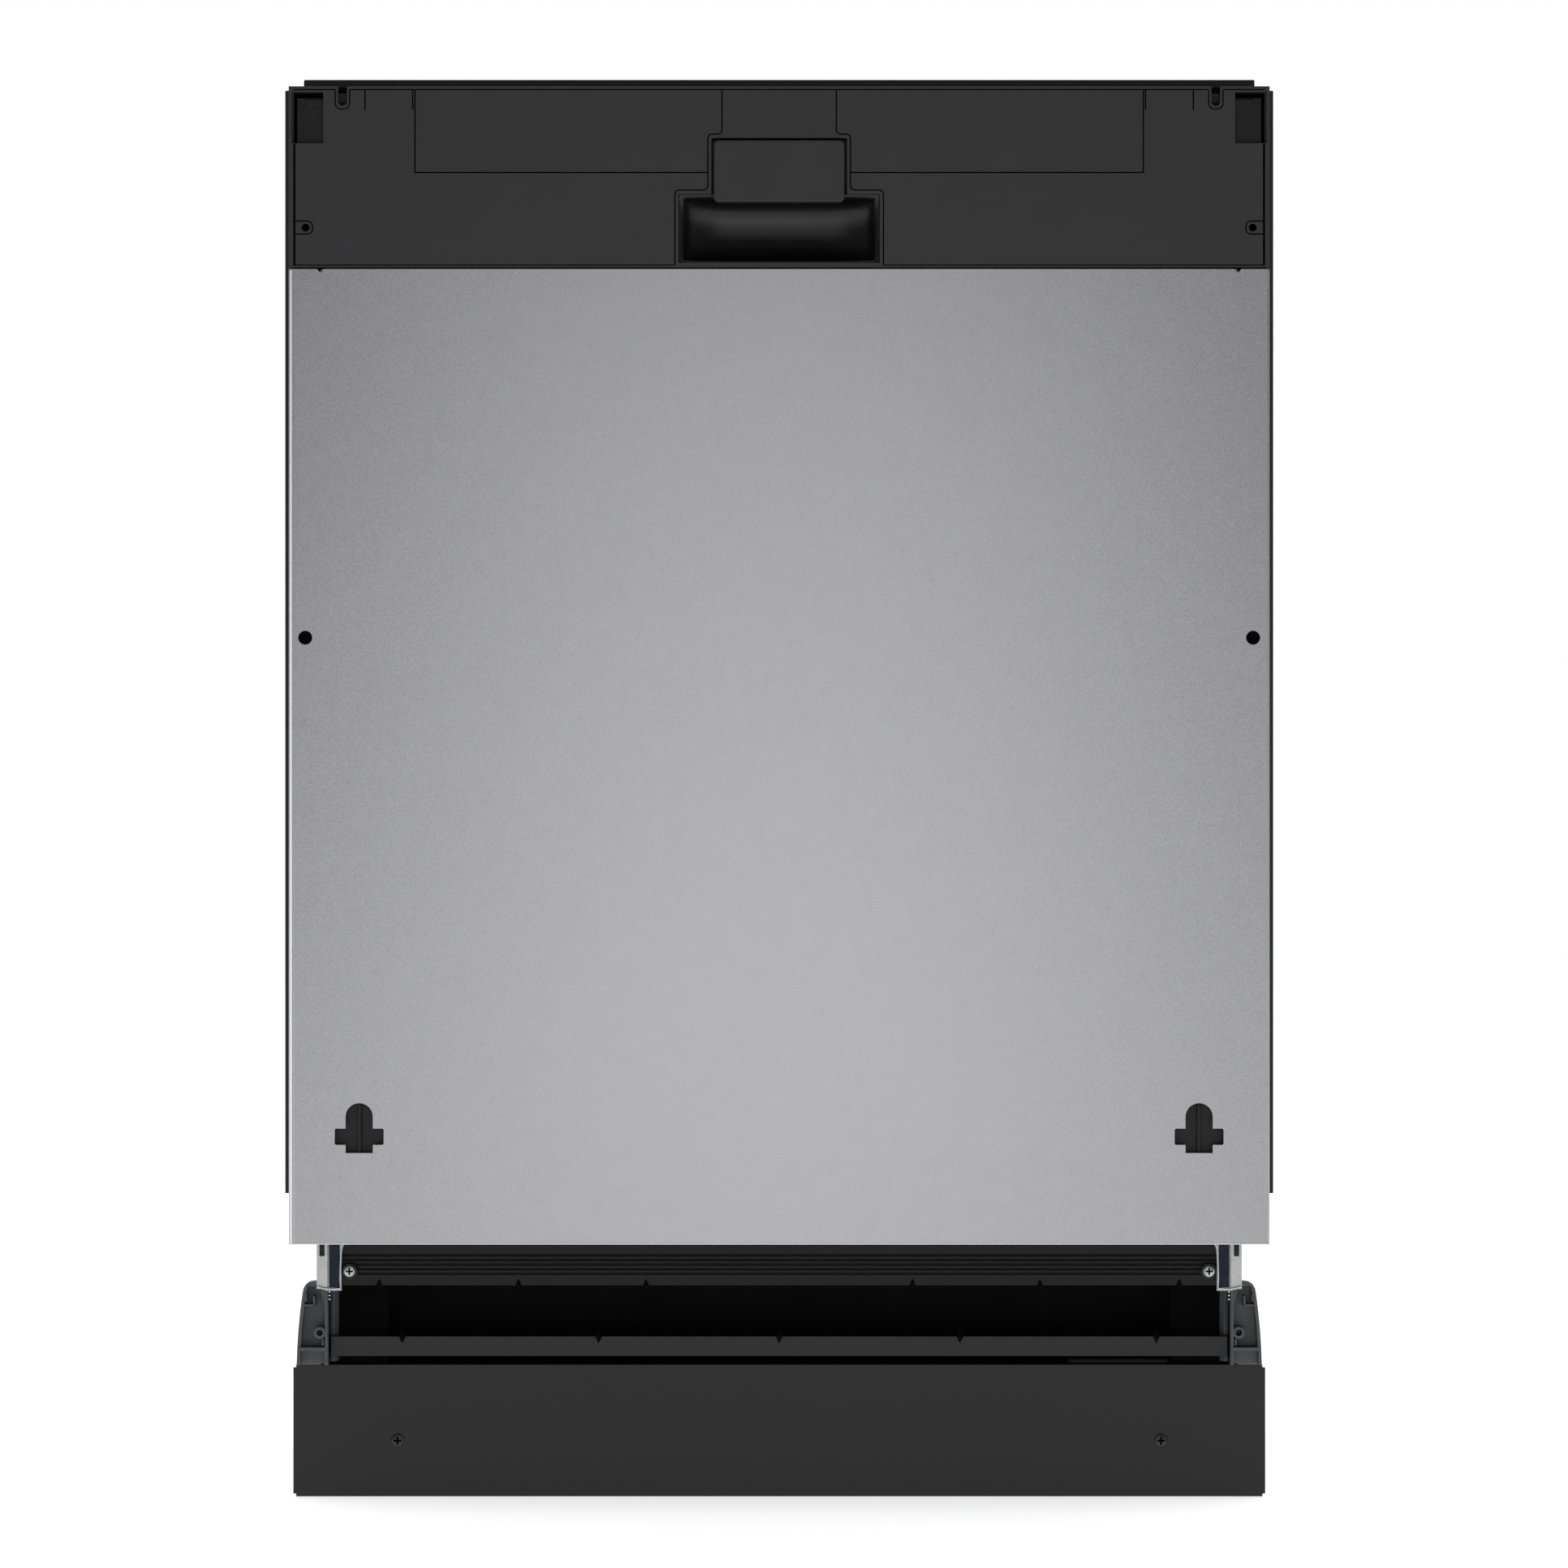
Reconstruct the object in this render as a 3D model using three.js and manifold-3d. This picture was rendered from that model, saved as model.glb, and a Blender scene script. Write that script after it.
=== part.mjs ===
// A 24 inch panel-ready built-in dishwasher: base, tub, tilting door, racks, spray arms and pumps.
// Millimetres. +X is the viewer's right, +Y runs to the rear, +Z is up.
// The origin is on the floor, under the middle of the machine, and the door faces -Y.

import * as THREE from 'three';
import { mergeVertices } from 'three/addons/utils/BufferGeometryUtils.js';
import Module from 'manifold-3d';

const wasm = await Module();
wasm.setup();

// ---------------------------------------------------------------- driving dimensions

const WIDTH = 598;              // over the side trims
const DEPTH = 550;              // door face to the back of the base tray
const HEIGHT = 865;             // floor to the top trim
const FRONT = -DEPTH / 2;
const REAR = DEPTH / 2;
const GAP = 0.3;                // clearance between pieces that touch
const SHEET = 1.2;              // steel sheet
const MOULDED = 2.5;            // moulded plastic wall

const DOOR_HALF = 293.7;
const DOOR_BOTTOM = 161.8;
const DOOR_SPLIT = 746.2;       // where the steel panel ends and the console starts
const DOOR_TOP = 855.4;
const PANEL_FACE = FRONT + 1;
const CONSOLE_FACE = FRONT + 2;
const FLANGE_REAR = PANEL_FACE + 24;   // how far back the outer panel's edges are folded
const LINER_REAR = -224.3;             // the door's inner face
const HINGE_Y = -235;
const HINGE_Z = 180;

const TUB_HALF = 270;           // inside
const TUB_FRONT = -207;
const TUB_REAR = 262;
const TUB_TOP = 838;
const TUB_SHEET = 1.5;
const TUB_FLANGE = 13;          // the tub's front flange, measured from inside the tub
const HINGE_SLOT_TOP = 248;     // below this the flange leaves room for the hinges
const FLOOR_LEDGE = 191;        // where the lower rack's wheels roll
const FLOOR_BASIN = 167;
const FLOOR_UNDER = 160;

const BASE_HALF = 275;
const BASE_FRONT = -150;
const BASE_UNDER = 34;
const KICK_TOP = 81.4;
const KICK_FACE = FRONT + 90;
const BEAM_FACE = FRONT + 65;
const LEG_FACE = FRONT + 80;

const SPRING = { x: 275.6, y: -168, z: 86, radius: 3.6 };   // where each door spring is anchored

const ARM_CENTRE_Y = 27;
const RACK_FRONT = -175;
const RACK_REAR = 232;
const RACK_HALF = 250;
const WIRE = 4;
const LOWER_RACK = { low: 230, high: 345 };
const UPPER_RACK = { low: 565, high: 685 };
const TRAY = { low: 775, high: 806 };
const WHEEL_RADIUS = 17;

const FILTER = { x: 60, y: -20, radius: 38 };
const FOOT = { x: 262, y: -158, rearY: 235, stud: 6, disc: 16 };

// ---------------------------------------------------------------- materials

function finish(color, roughness, metalness) {
  return new THREE.MeshStandardMaterial({ color, roughness, metalness });
}

const STAINLESS = finish(0xa9a9ab, 0.38, 1);
const GALVANISED = finish(0x9fa3a6, 0.45, 1);
const CONSOLE_BLACK = finish(0x343434, 0.6, 0);
const GLOSS_BLACK = finish(0x141414, 0.2, 0);
const PAINTED_BLACK = finish(0x2d2d2d, 0.55, 0.2);
const LEG_GREY = finish(0x3a3d40, 0.6, 0);
const BASE_BLACK = finish(0x1c1c1d, 0.65, 0);
const RACK_GREY = finish(0x9a9da1, 0.4, 0.1);
const ARM_GREY = finish(0x5b5f63, 0.45, 0);
const BASKET_GREY = finish(0x6d7175, 0.5, 0);
const SEAL_RUBBER = finish(0x1a1a1a, 0.85, 0);
const FELT = finish(0x4a4a4c, 0.95, 0);
const MOULDED_WHITE = finish(0xd9dad8, 0.5, 0);
const PUMP_PLASTIC = finish(0x2a2c30, 0.5, 0);
const SPRING_STEEL = finish(0xb8babd, 0.35, 1);

// ---------------------------------------------------------------- geometry helpers

const TURN = {
  x: new THREE.Matrix4().makeBasis(
    new THREE.Vector3(0, 1, 0), new THREE.Vector3(0, 0, 1), new THREE.Vector3(1, 0, 0)),
  y: new THREE.Matrix4().makeBasis(
    new THREE.Vector3(1, 0, 0), new THREE.Vector3(0, 0, 1), new THREE.Vector3(0, -1, 0)),
  z: new THREE.Matrix4(),
};

// A box from its low and high sides.
function slab(x0, x1, y0, y1, z0, z1) {
  return new THREE.BoxGeometry(x1 - x0, y1 - y0, z1 - z0)
    .translate((x0 + x1) / 2, (y0 + y1) / 2, (z0 + z1) / 2);
}

// A box that is symmetric about the machine's middle plane.
function wide(half, y0, y1, z0, z1) {
  return slab(-half, half, y0, y1, z0, z1);
}

// An outline in the plane across an axis (YZ, XZ or XY), given thickness along that axis.
function extruded(outline, axis, low, high, steps = 5) {
  const geometry = new THREE.ExtrudeGeometry(
    outline, { depth: high - low, bevelEnabled: false, curveSegments: steps });
  geometry.applyMatrix4(TURN[axis]);
  const shift = { x: [low, 0, 0], y: [0, high, 0], z: [0, 0, low] }[axis];
  return geometry.translate(...shift);
}

// A round bar along an axis between two stations; across gives its centre in the other two.
function bar(axis, low, high, across, radius, sides = 16) {
  const outline = new THREE.Shape();
  for (let i = 0; i < sides; i += 1) {
    const turn = (i + 0.5) / sides * 2 * Math.PI;
    const point = [across[0] + radius * Math.cos(turn), across[1] + radius * Math.sin(turn)];
    if (i === 0) outline.moveTo(...point);
    else outline.lineTo(...point);
  }
  outline.closePath();
  return extruded(outline, axis, low, high);
}

function polygon(points) {
  const outline = new THREE.Shape();
  points.forEach((point, i) => (i === 0 ? outline.moveTo(...point) : outline.lineTo(...point)));
  outline.closePath();
  return outline;
}

function roundedRect(left, right, bottom, top, radius) {
  const outline = new THREE.Shape();
  outline.moveTo(left + radius, bottom);
  outline.lineTo(right - radius, bottom);
  outline.absarc(right - radius, bottom + radius, radius, -Math.PI / 2, 0);
  outline.lineTo(right, top - radius);
  outline.absarc(right - radius, top - radius, radius, 0, Math.PI / 2);
  outline.lineTo(left + radius, top);
  outline.absarc(left + radius, top - radius, radius, Math.PI / 2, Math.PI);
  outline.lineTo(left, bottom + radius);
  outline.absarc(left + radius, bottom + radius, radius, Math.PI, 1.5 * Math.PI);
  return outline;
}

function toSolid(geometry) {
  const bare = geometry.clone();
  bare.deleteAttribute('normal');
  bare.deleteAttribute('uv');
  const welded = mergeVertices(bare, 1e-4);
  return new wasm.Manifold(new wasm.Mesh({
    numProp: 3,
    vertProperties: new Float32Array(welded.attributes.position.array),
    triVerts: new Uint32Array(welded.index.array),
  }));
}

function toGeometry(solid) {
  const mesh = solid.getMesh();
  const geometry = new THREE.BufferGeometry();
  geometry.setAttribute('position', new THREE.BufferAttribute(mesh.vertProperties, 3));
  geometry.setIndex(new THREE.BufferAttribute(mesh.triVerts, 1));
  geometry.computeVertexNormals();
  return geometry;
}

function join(...geometries) {
  return toGeometry(geometries.map(toSolid).reduce((whole, next) => whole.add(next)));
}

function cut(base, ...tools) {
  return toGeometry(tools.map(toSolid).reduce((left, tool) => left.subtract(tool), toSolid(base)));
}

// The same piece on the other side of the middle plane.
function mirrored(geometry) {
  const copy = geometry.clone().scale(-1, 1, 1);
  const index = copy.index.array;
  for (let i = 0; i < index.length; i += 3) {
    [index[i + 1], index[i + 2]] = [index[i + 2], index[i + 1]];
  }
  return copy;
}

// ---------------------------------------------------------------- assembly helpers

const dishwasher = new THREE.Group();
const cabinet = new THREE.Group();
const door = new THREE.Group();
const racks = new THREE.Group();
dishwasher.add(cabinet, door, racks);

function place(group, name, geometry, material, position = [0, 0, 0]) {
  const mesh = new THREE.Mesh(geometry, material);
  mesh.name = name;
  mesh.position.set(...position);
  group.add(mesh);
}

function placePair(group, name, rightGeometry, material) {
  place(group, `${name}_right`, rightGeometry, material);
  place(group, `${name}_left`, mirrored(rightGeometry), material);
}

// ---------------------------------------------------------------- base and plinth

// The tray that carries the tub and pumps, with the lipped shelf across its front.
function baseTray() {
  const wall = 3;
  const shell = cut(
    wide(BASE_HALF, BASE_FRONT, REAR, BASE_UNDER, FLOOR_UNDER - GAP),
    wide(BASE_HALF - wall, BASE_FRONT + wall, REAR - wall, BASE_UNDER + wall, FLOOR_UNDER + 1));
  const shelfLow = 87;
  const lipTop = 99.4;
  const lipFace = KICK_FACE - 5;
  const shelf = wide(BASE_HALF, lipFace, BASE_FRONT + 1, shelfLow, shelfLow + 2);
  const lip = wide(BASE_HALF, lipFace, lipFace + 2, shelfLow, lipTop);
  const footBlock = slab(-20, 20, FOOT.rearY - 18, FOOT.rearY + 18, 20, BASE_UNDER + 1);
  const notches = [-231, -110.7, 0, 110.7, 231].map((x) => extruded(
    polygon([[x, lipTop - 5], [x + 2.4, lipTop + 1], [x - 2.4, lipTop + 1]]),
    'y', lipFace - 1, lipFace + 3));
  const studBores = [[0, FOOT.rearY], [FOOT.x, FOOT.y], [-FOOT.x, FOOT.y]].map(
    (across) => bar('z', 10, 110, across, FOOT.stud + 0.4));
  const inletHole = bar('y', REAR - 10, REAR + 5, [-170, 80], 13);
  const springSlots = [-1, 1].map((side) => slab(
    side * SPRING.x - 5, side * SPRING.x + 5, SPRING.y - 5, SPRING.y + 5, shelfLow - 1, shelfLow + 3));
  return cut(join(shell, shelf, lip, footBlock), ...notches, ...studBores, inletHole, ...springSlots);
}

// One front corner: a bowed grey shell above the plinth, and the block that holds the foot.
function cornerLeg() {
  const bow = new THREE.Shape();
  bow.moveTo(276, 82);
  bow.lineTo(276, 118);
  bow.lineTo(279, 133.1);
  bow.lineTo(285, 133.1);
  bow.quadraticCurveTo(291.2, 133.1, 291.8, 126);
  bow.quadraticCurveTo(294.9, 104, 295.4, 82);
  bow.closePath();
  const shellRear = LEG_FACE + 11.5;
  const shell = extruded(bow, 'y', LEG_FACE, shellRear, 4);
  const hollow = extruded(
    polygon([[278.2, 93], [292.7, 93], [291.9, 106], [289.9, 124], [288.4, 130.4], [281.2, 130.4],
      [278.2, 117]]),
    'y', LEG_FACE - 1, shellRear - MOULDED);
  const underPocket = slab(278.4, 293.2, LEG_FACE - 1, shellRear - 2, 81, 90.8);
  const boss = bar('y', LEG_FACE + 1.5, shellRear, [281.2, 101.9], 3.85);
  const bossHole = bar('y', LEG_FACE, shellRear - 4, [281.2, 101.9], 1.8, 10);
  const webTop = slab(276, 282, shellRear - 1, BASE_FRONT - 5, KICK_TOP + 0.6, 118);
  const webLow = slab(276, 282, KICK_FACE + 10.5, BASE_FRONT - 5, 60, KICK_TOP + 1);
  const block = slab(244, 295.4, KICK_FACE + 10.5, BASE_FRONT - GAP, 40, 75);
  const bore = bar('z', 30, 90, [FOOT.x, FOOT.y], FOOT.stud + 0.4);
  const springSlot = slab(270, SPRING.x + 4.2, SPRING.y - 11, SPRING.y + 8, SPRING.z - 2, 119);
  const hollowed = cut(shell, hollow, underPocket);
  return cut(join(hollowed, boss, webTop, webLow, block), bossHole, bore, springSlot);
}

function foot() {
  return join(
    bar('z', 0, 8, [0, 0], FOOT.disc, 12),
    bar('z', 7, 112, [0, 0], FOOT.stud, 12));
}

function kickPlate() {
  const half = 298.2;
  const bottom = 0.5;
  const flangeRear = KICK_FACE + 10;
  const step = 1.7;
  const corners = [-1, 1].flatMap((side) => [bottom, KICK_TOP - step].map((z) => slab(
    side * half - step, side * half + step, KICK_FACE - 1, flangeRear + 1,
    z === bottom ? z - 1 : z, z === bottom ? z + step : KICK_TOP + 1)));
  return cut(
    wide(half, KICK_FACE, flangeRear, bottom, KICK_TOP),
    wide(half + 1, KICK_FACE + SHEET, flangeRear + 1, bottom + SHEET, KICK_TOP - SHEET),
    ...corners);
}

// The ribbed beam that ties the two hinge brackets together under the door.
function frontBeam() {
  const half = 266.2;
  const bottom = 132.1;
  const top = FLOOR_UNDER - GAP;
  const rear = BEAM_FACE + 5;
  const outline = [[BEAM_FACE, bottom]];
  const pitch = 2.8;
  for (let rib = 0; rib < 5; rib += 1) {
    const z = 138.6 + rib * pitch;
    outline.push([BEAM_FACE, z], [BEAM_FACE + 1.5, z + 0.3], [BEAM_FACE + 1.5, z + 1.2]);
    outline.push([BEAM_FACE, z + 1.5]);
  }
  outline.push([BEAM_FACE, top], [BEAM_FACE + 20, top], [BEAM_FACE + 20, top - 2]);
  outline.push([rear, top - 2], [rear, bottom]);
  const notches = [-243.8, -158.9, -81.2, 81.2, 158.9, 243.8].map((x) => extruded(
    polygon([[x - 2.2, bottom - 1], [x + 2.2, bottom - 1], [x, bottom + 4.3]]),
    'y', BEAM_FACE - 1, rear + 1));
  return cut(extruded(polygon(outline), 'x', -half, half), ...notches);
}

// ---------------------------------------------------------------- tub

function tubWrap() {
  const outer = TUB_HALF + TUB_SHEET;
  const flange = TUB_FLANGE;
  const tunnel = wide(outer, TUB_FRONT, TUB_REAR, FLOOR_UNDER, TUB_TOP + TUB_SHEET);
  const rim = wide(TUB_HALF + flange, TUB_FRONT, TUB_FRONT + TUB_SHEET, FLOOR_UNDER, TUB_TOP + flange);
  const hinges = [-1, 1].map((side) => slab(
    side * (outer + flange) - flange, side * (outer + flange) + flange,
    TUB_FRONT - 1, TUB_FRONT + TUB_SHEET + 1, FLOOR_UNDER - 1, HINGE_SLOT_TOP));
  return cut(
    join(tunnel, rim), ...hinges,
    wide(TUB_HALF, TUB_FRONT - 1, TUB_REAR + 1, FLOOR_UNDER - 1, TUB_TOP));
}

// The moulded floor: ledges for the wheels at each side and a basin that drains to the sump.
function tubFloor() {
  return cut(
    wide(TUB_HALF - GAP, TUB_FRONT, TUB_REAR, FLOOR_UNDER, FLOOR_LEDGE),
    wide(236, -192, 240, FLOOR_BASIN, FLOOR_LEDGE + 1),
    bar('z', FLOOR_UNDER - 1, FLOOR_LEDGE, [FILTER.x, FILTER.y], FILTER.radius + 18, 24));
}

function insulationMat() {
  const thick = 8;
  const inner = TUB_HALF + TUB_SHEET + GAP;
  return cut(
    wide(inner + thick, -168, TUB_REAR, 166, TUB_TOP + TUB_SHEET + GAP + thick),
    wide(inner, -170, TUB_REAR + 1, 165, TUB_TOP + TUB_SHEET + GAP));
}

// The rubber lip that runs up both sides of the opening and across its top.
function doorSeal() {
  const inner = 273;
  const outer = 280.5;
  const top = 851;
  const end = HINGE_SLOT_TOP + 2;
  const outline = polygon([
    [-outer, end], [-inner, end], [-inner, top - 15], [9 - inner, top - 6], [inner - 9, top - 6],
    [inner, top - 15], [inner, end], [outer, end], [outer, top - 8], [outer - 8, top],
    [8 - outer, top], [-outer, top - 8]]);
  return extruded(outline, 'y', LINER_REAR + 2.3, TUB_FRONT - GAP);
}

function sideTrim() {
  const outside = WIDTH / 2;
  const top = 857.2;
  return join(
    slab(295, outside, FRONT + 40, TUB_FRONT + 4, 189.9, top),
    slab(TUB_HALF + TUB_FLANGE + GAP, 296, TUB_FRONT, TUB_FRONT + 4, 240, top));
}

function topTrim() {
  const rear = TUB_FRONT + 4;
  return join(
    wide(288.5, FRONT + 50, rear, HEIGHT - 7.5, HEIGHT),
    wide(TUB_HALF + 12.5, TUB_FRONT + TUB_SHEET + GAP, rear, TUB_TOP + TUB_SHEET + GAP, HEIGHT - 7));
}

// ---------------------------------------------------------------- hinges

// The folded steel bracket at one lower corner of the tub, with the ear that holds the pin.
function hingeBracket() {
  const low = 130;
  const high = 212;
  const inner = 266.5;
  const outer = 281.8;
  const armUnder = 159;
  const webRear = -194;
  const ear = new THREE.Shape();
  ear.moveTo(webRear, HINGE_Z - 11);
  ear.lineTo(HINGE_Y, HINGE_Z - 11);
  ear.absarc(HINGE_Y, HINGE_Z, 11, 1.5 * Math.PI, Math.PI / 2, true);
  ear.lineTo(webRear, HINGE_Z + 11);
  ear.closePath();
  return cut(
    join(
      slab(inner, inner + 2, -212, TUB_FRONT - 1, low, 158),
      slab(inner, outer, TUB_FRONT - 3.5, TUB_FRONT - GAP, low, armUnder),
      slab(inner, 279, TUB_FRONT - 3.5, TUB_FRONT - GAP, armUnder - 1, 195),
      slab(275, outer, -211.5, TUB_FRONT - 2, low, armUnder),
      slab(275, 279, -211.5, TUB_FRONT - 2, armUnder - 1, 195),
      slab(inner, 276, -212, TUB_FRONT - 1, low - 1, low + 1),
      slab(272.5, 274.5, TUB_FRONT - 3.5, TUB_FRONT - GAP, low, high - 16),
      extruded(ear, 'x', 276, 279, 6)),
    bar('x', 270, 285, [HINGE_Y, HINGE_Z], 4.2, 24));
}

const LEVER = { y: -180, z: 168 };   // where the door spring hooks onto the hinge arm

function hingeArm() {
  const inner = 279.8;
  const outer = 281.6;
  const lever = polygon([
    [HINGE_Y, HINGE_Z - 10], [LEVER.y, LEVER.z - 6], [LEVER.y, LEVER.z + 6], [HINGE_Y, HINGE_Z + 10]]);
  return cut(
    join(
      slab(inner, outer, -245, -230, HINGE_Z, 400),
      bar('x', inner, outer, [HINGE_Y, HINGE_Z], 12),
      extruded(lever, 'x', inner, outer),
      bar('x', inner, outer, [LEVER.y, LEVER.z], 7, 12),
      bar('x', 274.5, inner + 1, [HINGE_Y, HINGE_Z], 4, 24)),
    bar('x', inner - 1, outer + 1, [LEVER.y, LEVER.z], 2.5, 10));
}

function doorSpring() {
  const from = new THREE.Vector3(SPRING.x, SPRING.y, SPRING.z);
  const to = new THREE.Vector3(SPRING.x, LEVER.y, LEVER.z - 8.5);
  const along = to.clone().sub(from);
  const geometry = new THREE.CylinderGeometry(SPRING.radius, SPRING.radius, along.length(), 10);
  geometry.applyQuaternion(new THREE.Quaternion().setFromUnitVectors(
    new THREE.Vector3(0, 1, 0), along.clone().normalize()));
  geometry.translate(...from.add(to).multiplyScalar(0.5));
  return join(geometry);
}

// ---------------------------------------------------------------- door

function keyhole(x) {
  const outline = new THREE.Shape();
  outline.moveTo(x - 8.1, 216.7);
  outline.lineTo(x + 8.1, 216.7);
  outline.lineTo(x + 8.1, 238.4);
  outline.absarc(x, 238.4, 8.1, 0, Math.PI);
  outline.closePath();
  const through = [PANEL_FACE - 1, PANEL_FACE + 2];
  return join(
    extruded(outline, 'y', ...through, 10),
    extruded(roundedRect(x - 14.6, x + 14.6, 221.6, 231.3, 1), 'y', ...through, 2));
}

// The outer steel panel, a folded tray with the holes that a furniture front is hung from.
function outerPanel() {
  const top = DOOR_SPLIT - GAP;
  const holes = [-1, 1].flatMap((side) => [
    keyhole(side * 251.4),
    bar('y', PANEL_FACE - 1, PANEL_FACE + 2, [side * 283.7, 525.2], 4.2, 20),
    extruded(
      polygon([[side * 274 - 2, top + 1], [side * 274, top - 2.2], [side * 274 + 2, top + 1]]),
      'y', PANEL_FACE - 1, PANEL_FACE + 2),
  ]);
  return cut(
    wide(DOOR_HALF, PANEL_FACE, FLANGE_REAR, DOOR_BOTTOM, top),
    wide(DOOR_HALF - SHEET, PANEL_FACE + SHEET, FLANGE_REAR + 1, DOOR_BOTTOM + SHEET, top - SHEET),
    ...holes);
}

const DISPENSER = { left: -110, right: 60, bottom: 432, top: 543 };

// The inner steel liner: a tray with a pressed pan, cut away at its lower corners for the hinges.
function innerLiner() {
  const half = DOOR_HALF - SHEET - 1.3;
  const low = 164;
  const top = 848;
  const front = FLANGE_REAR + 1.5;
  const pan = { half: 235, depth: 8.5, bottom: 207, top: 790 };
  const tray = cut(
    wide(half, front, LINER_REAR, low, top),
    wide(half - SHEET, front - 1, LINER_REAR - SHEET, low + SHEET, top - SHEET));
  const panBack = wide(
    pan.half + SHEET, LINER_REAR - pan.depth - SHEET, LINER_REAR - 0.5,
    pan.bottom - SHEET, pan.top + SHEET);
  const corners = [-1, 1].map((side) => slab(
    Math.min(side * 264, side * 300), Math.max(side * 264, side * 300),
    front - 1, LINER_REAR + 1, low - 1, 205));
  return cut(
    join(tray, panBack),
    wide(pan.half, LINER_REAR - pan.depth, LINER_REAR + 1, pan.bottom, pan.top),
    slab(DISPENSER.left - GAP, DISPENSER.right + GAP, LINER_REAR - 20, LINER_REAR,
      DISPENSER.bottom - GAP, DISPENSER.top + GAP),
    wide(14, LINER_REAR - 3, LINER_REAR + 1, 833, 845.5),
    ...corners);
}

const POCKET = { half: 60.2, bottom: 749.7, top: 790.8, depth: 30 };
const FLAP = { half: 39.1, bottom: 786.1, top: 822.9, thick: 9 };
const STRIP = { half: 215, front: -266, rear: -232 };

// The black moulded console: front shell, finger pocket, flap recess, corner windows, top edge.
function controlConsole() {
  const bottom = DOOR_SPLIT + GAP;
  const topWall = 3;
  const rear = -225;
  const shell = cut(
    wide(DOOR_HALF, CONSOLE_FACE, FLANGE_REAR, bottom, DOOR_TOP),
    wide(DOOR_HALF - MOULDED, CONSOLE_FACE + MOULDED, FLANGE_REAR + 1,
      bottom + SHEET, DOOR_TOP - topWall));
  const topEdge = wide(DOOR_HALF, FLANGE_REAR - 1, rear, DOOR_TOP - topWall, DOOR_TOP);
  const cupRear = CONSOLE_FACE + POCKET.depth;
  const cup = wide(POCKET.half + MOULDED, CONSOLE_FACE + 1, cupRear, bottom, POCKET.top + MOULDED);
  const flapBox = wide(FLAP.half + 4, CONSOLE_FACE + 1, CONSOLE_FACE + 14, POCKET.top, FLAP.top + 4.5);
  const pocketCut = wide(POCKET.half, CONSOLE_FACE - 1, cupRear - 2, POCKET.bottom, POCKET.top);
  const flapCut = wide(FLAP.half + 1.5, CONSOLE_FACE - 1, CONSOLE_FACE + 12, POCKET.top - 6,
    FLAP.top + 1.5);
  const windows = [-1, 1].flatMap((side) => {
    const near = side * 273;
    const far = side * (DOOR_HALF - MOULDED + 0.7);
    return [
      slab(Math.min(near, far), Math.max(near, far), CONSOLE_FACE - 1, CONSOLE_FACE + 5, 821.3, 851.8),
      bar('y', CONSOLE_FACE - 1, CONSOLE_FACE + 5, [side * 283.6, 770.8], 2.45, 10),
    ];
  });
  return cut(
    join(shell, topEdge, cup, flapBox), pocketCut, flapCut,
    wide(STRIP.half, STRIP.front, STRIP.rear, DOOR_TOP - 5, DOOR_TOP + 1), ...windows);
}

function gripFlap() {
  const outline = roundedRect(-FLAP.half, FLAP.half, FLAP.bottom, FLAP.top, 3);
  const plate = extruded(outline, 'y', FRONT, FRONT + FLAP.thick, 3);
  return cut(plate, wide(FLAP.half - 3, FRONT + 2.5, FRONT + FLAP.thick + 1,
    FLAP.bottom + 2.5, FLAP.top - 3));
}

const BUTTONS = [
  { name: 'power_button', x: -196 },
  { name: 'programme_button_1', x: -150 },
  { name: 'programme_button_2', x: -122 },
  { name: 'programme_button_3', x: -94 },
  { name: 'start_button', x: 196 },
];
const BUTTON = { long: 18, deep: 10, y: -249, low: 852, high: 855.7 };

function controlStrip() {
  const holes = BUTTONS.map(({ x }) => slab(
    x - BUTTON.long / 2 - GAP, x + BUTTON.long / 2 + GAP,
    BUTTON.y - BUTTON.deep / 2 - GAP, BUTTON.y + BUTTON.deep / 2 + GAP, 850, 856));
  return cut(
    wide(STRIP.half - GAP, STRIP.front + GAP, STRIP.rear - GAP, 851.5, DOOR_TOP - 0.3), ...holes);
}

function dispenserBody() {
  return cut(
    slab(DISPENSER.left, DISPENSER.right, LINER_REAR - 18, LINER_REAR + 2.8,
      DISPENSER.bottom, DISPENSER.top),
    slab(-100, -20, LINER_REAR - 14, LINER_REAR + 3, 446, 529),
    bar('y', LINER_REAR - 14, LINER_REAR + 3, [25, 510], 13));
}

function doorLatch() {
  return cut(
    wide(20, LINER_REAR - 20, LINER_REAR - SHEET - GAP, 824, 846),
    wide(10, LINER_REAR - 15, LINER_REAR, 835.5, 847));
}

// ---------------------------------------------------------------- racks

// The stations of evenly spaced wires that run from one side of a span to the other.
function stations([low, high], bays) {
  return Array.from({ length: bays + 1 }, (_, i) => Math.round(low + (high - low - WIRE) * i / bays));
}

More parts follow.
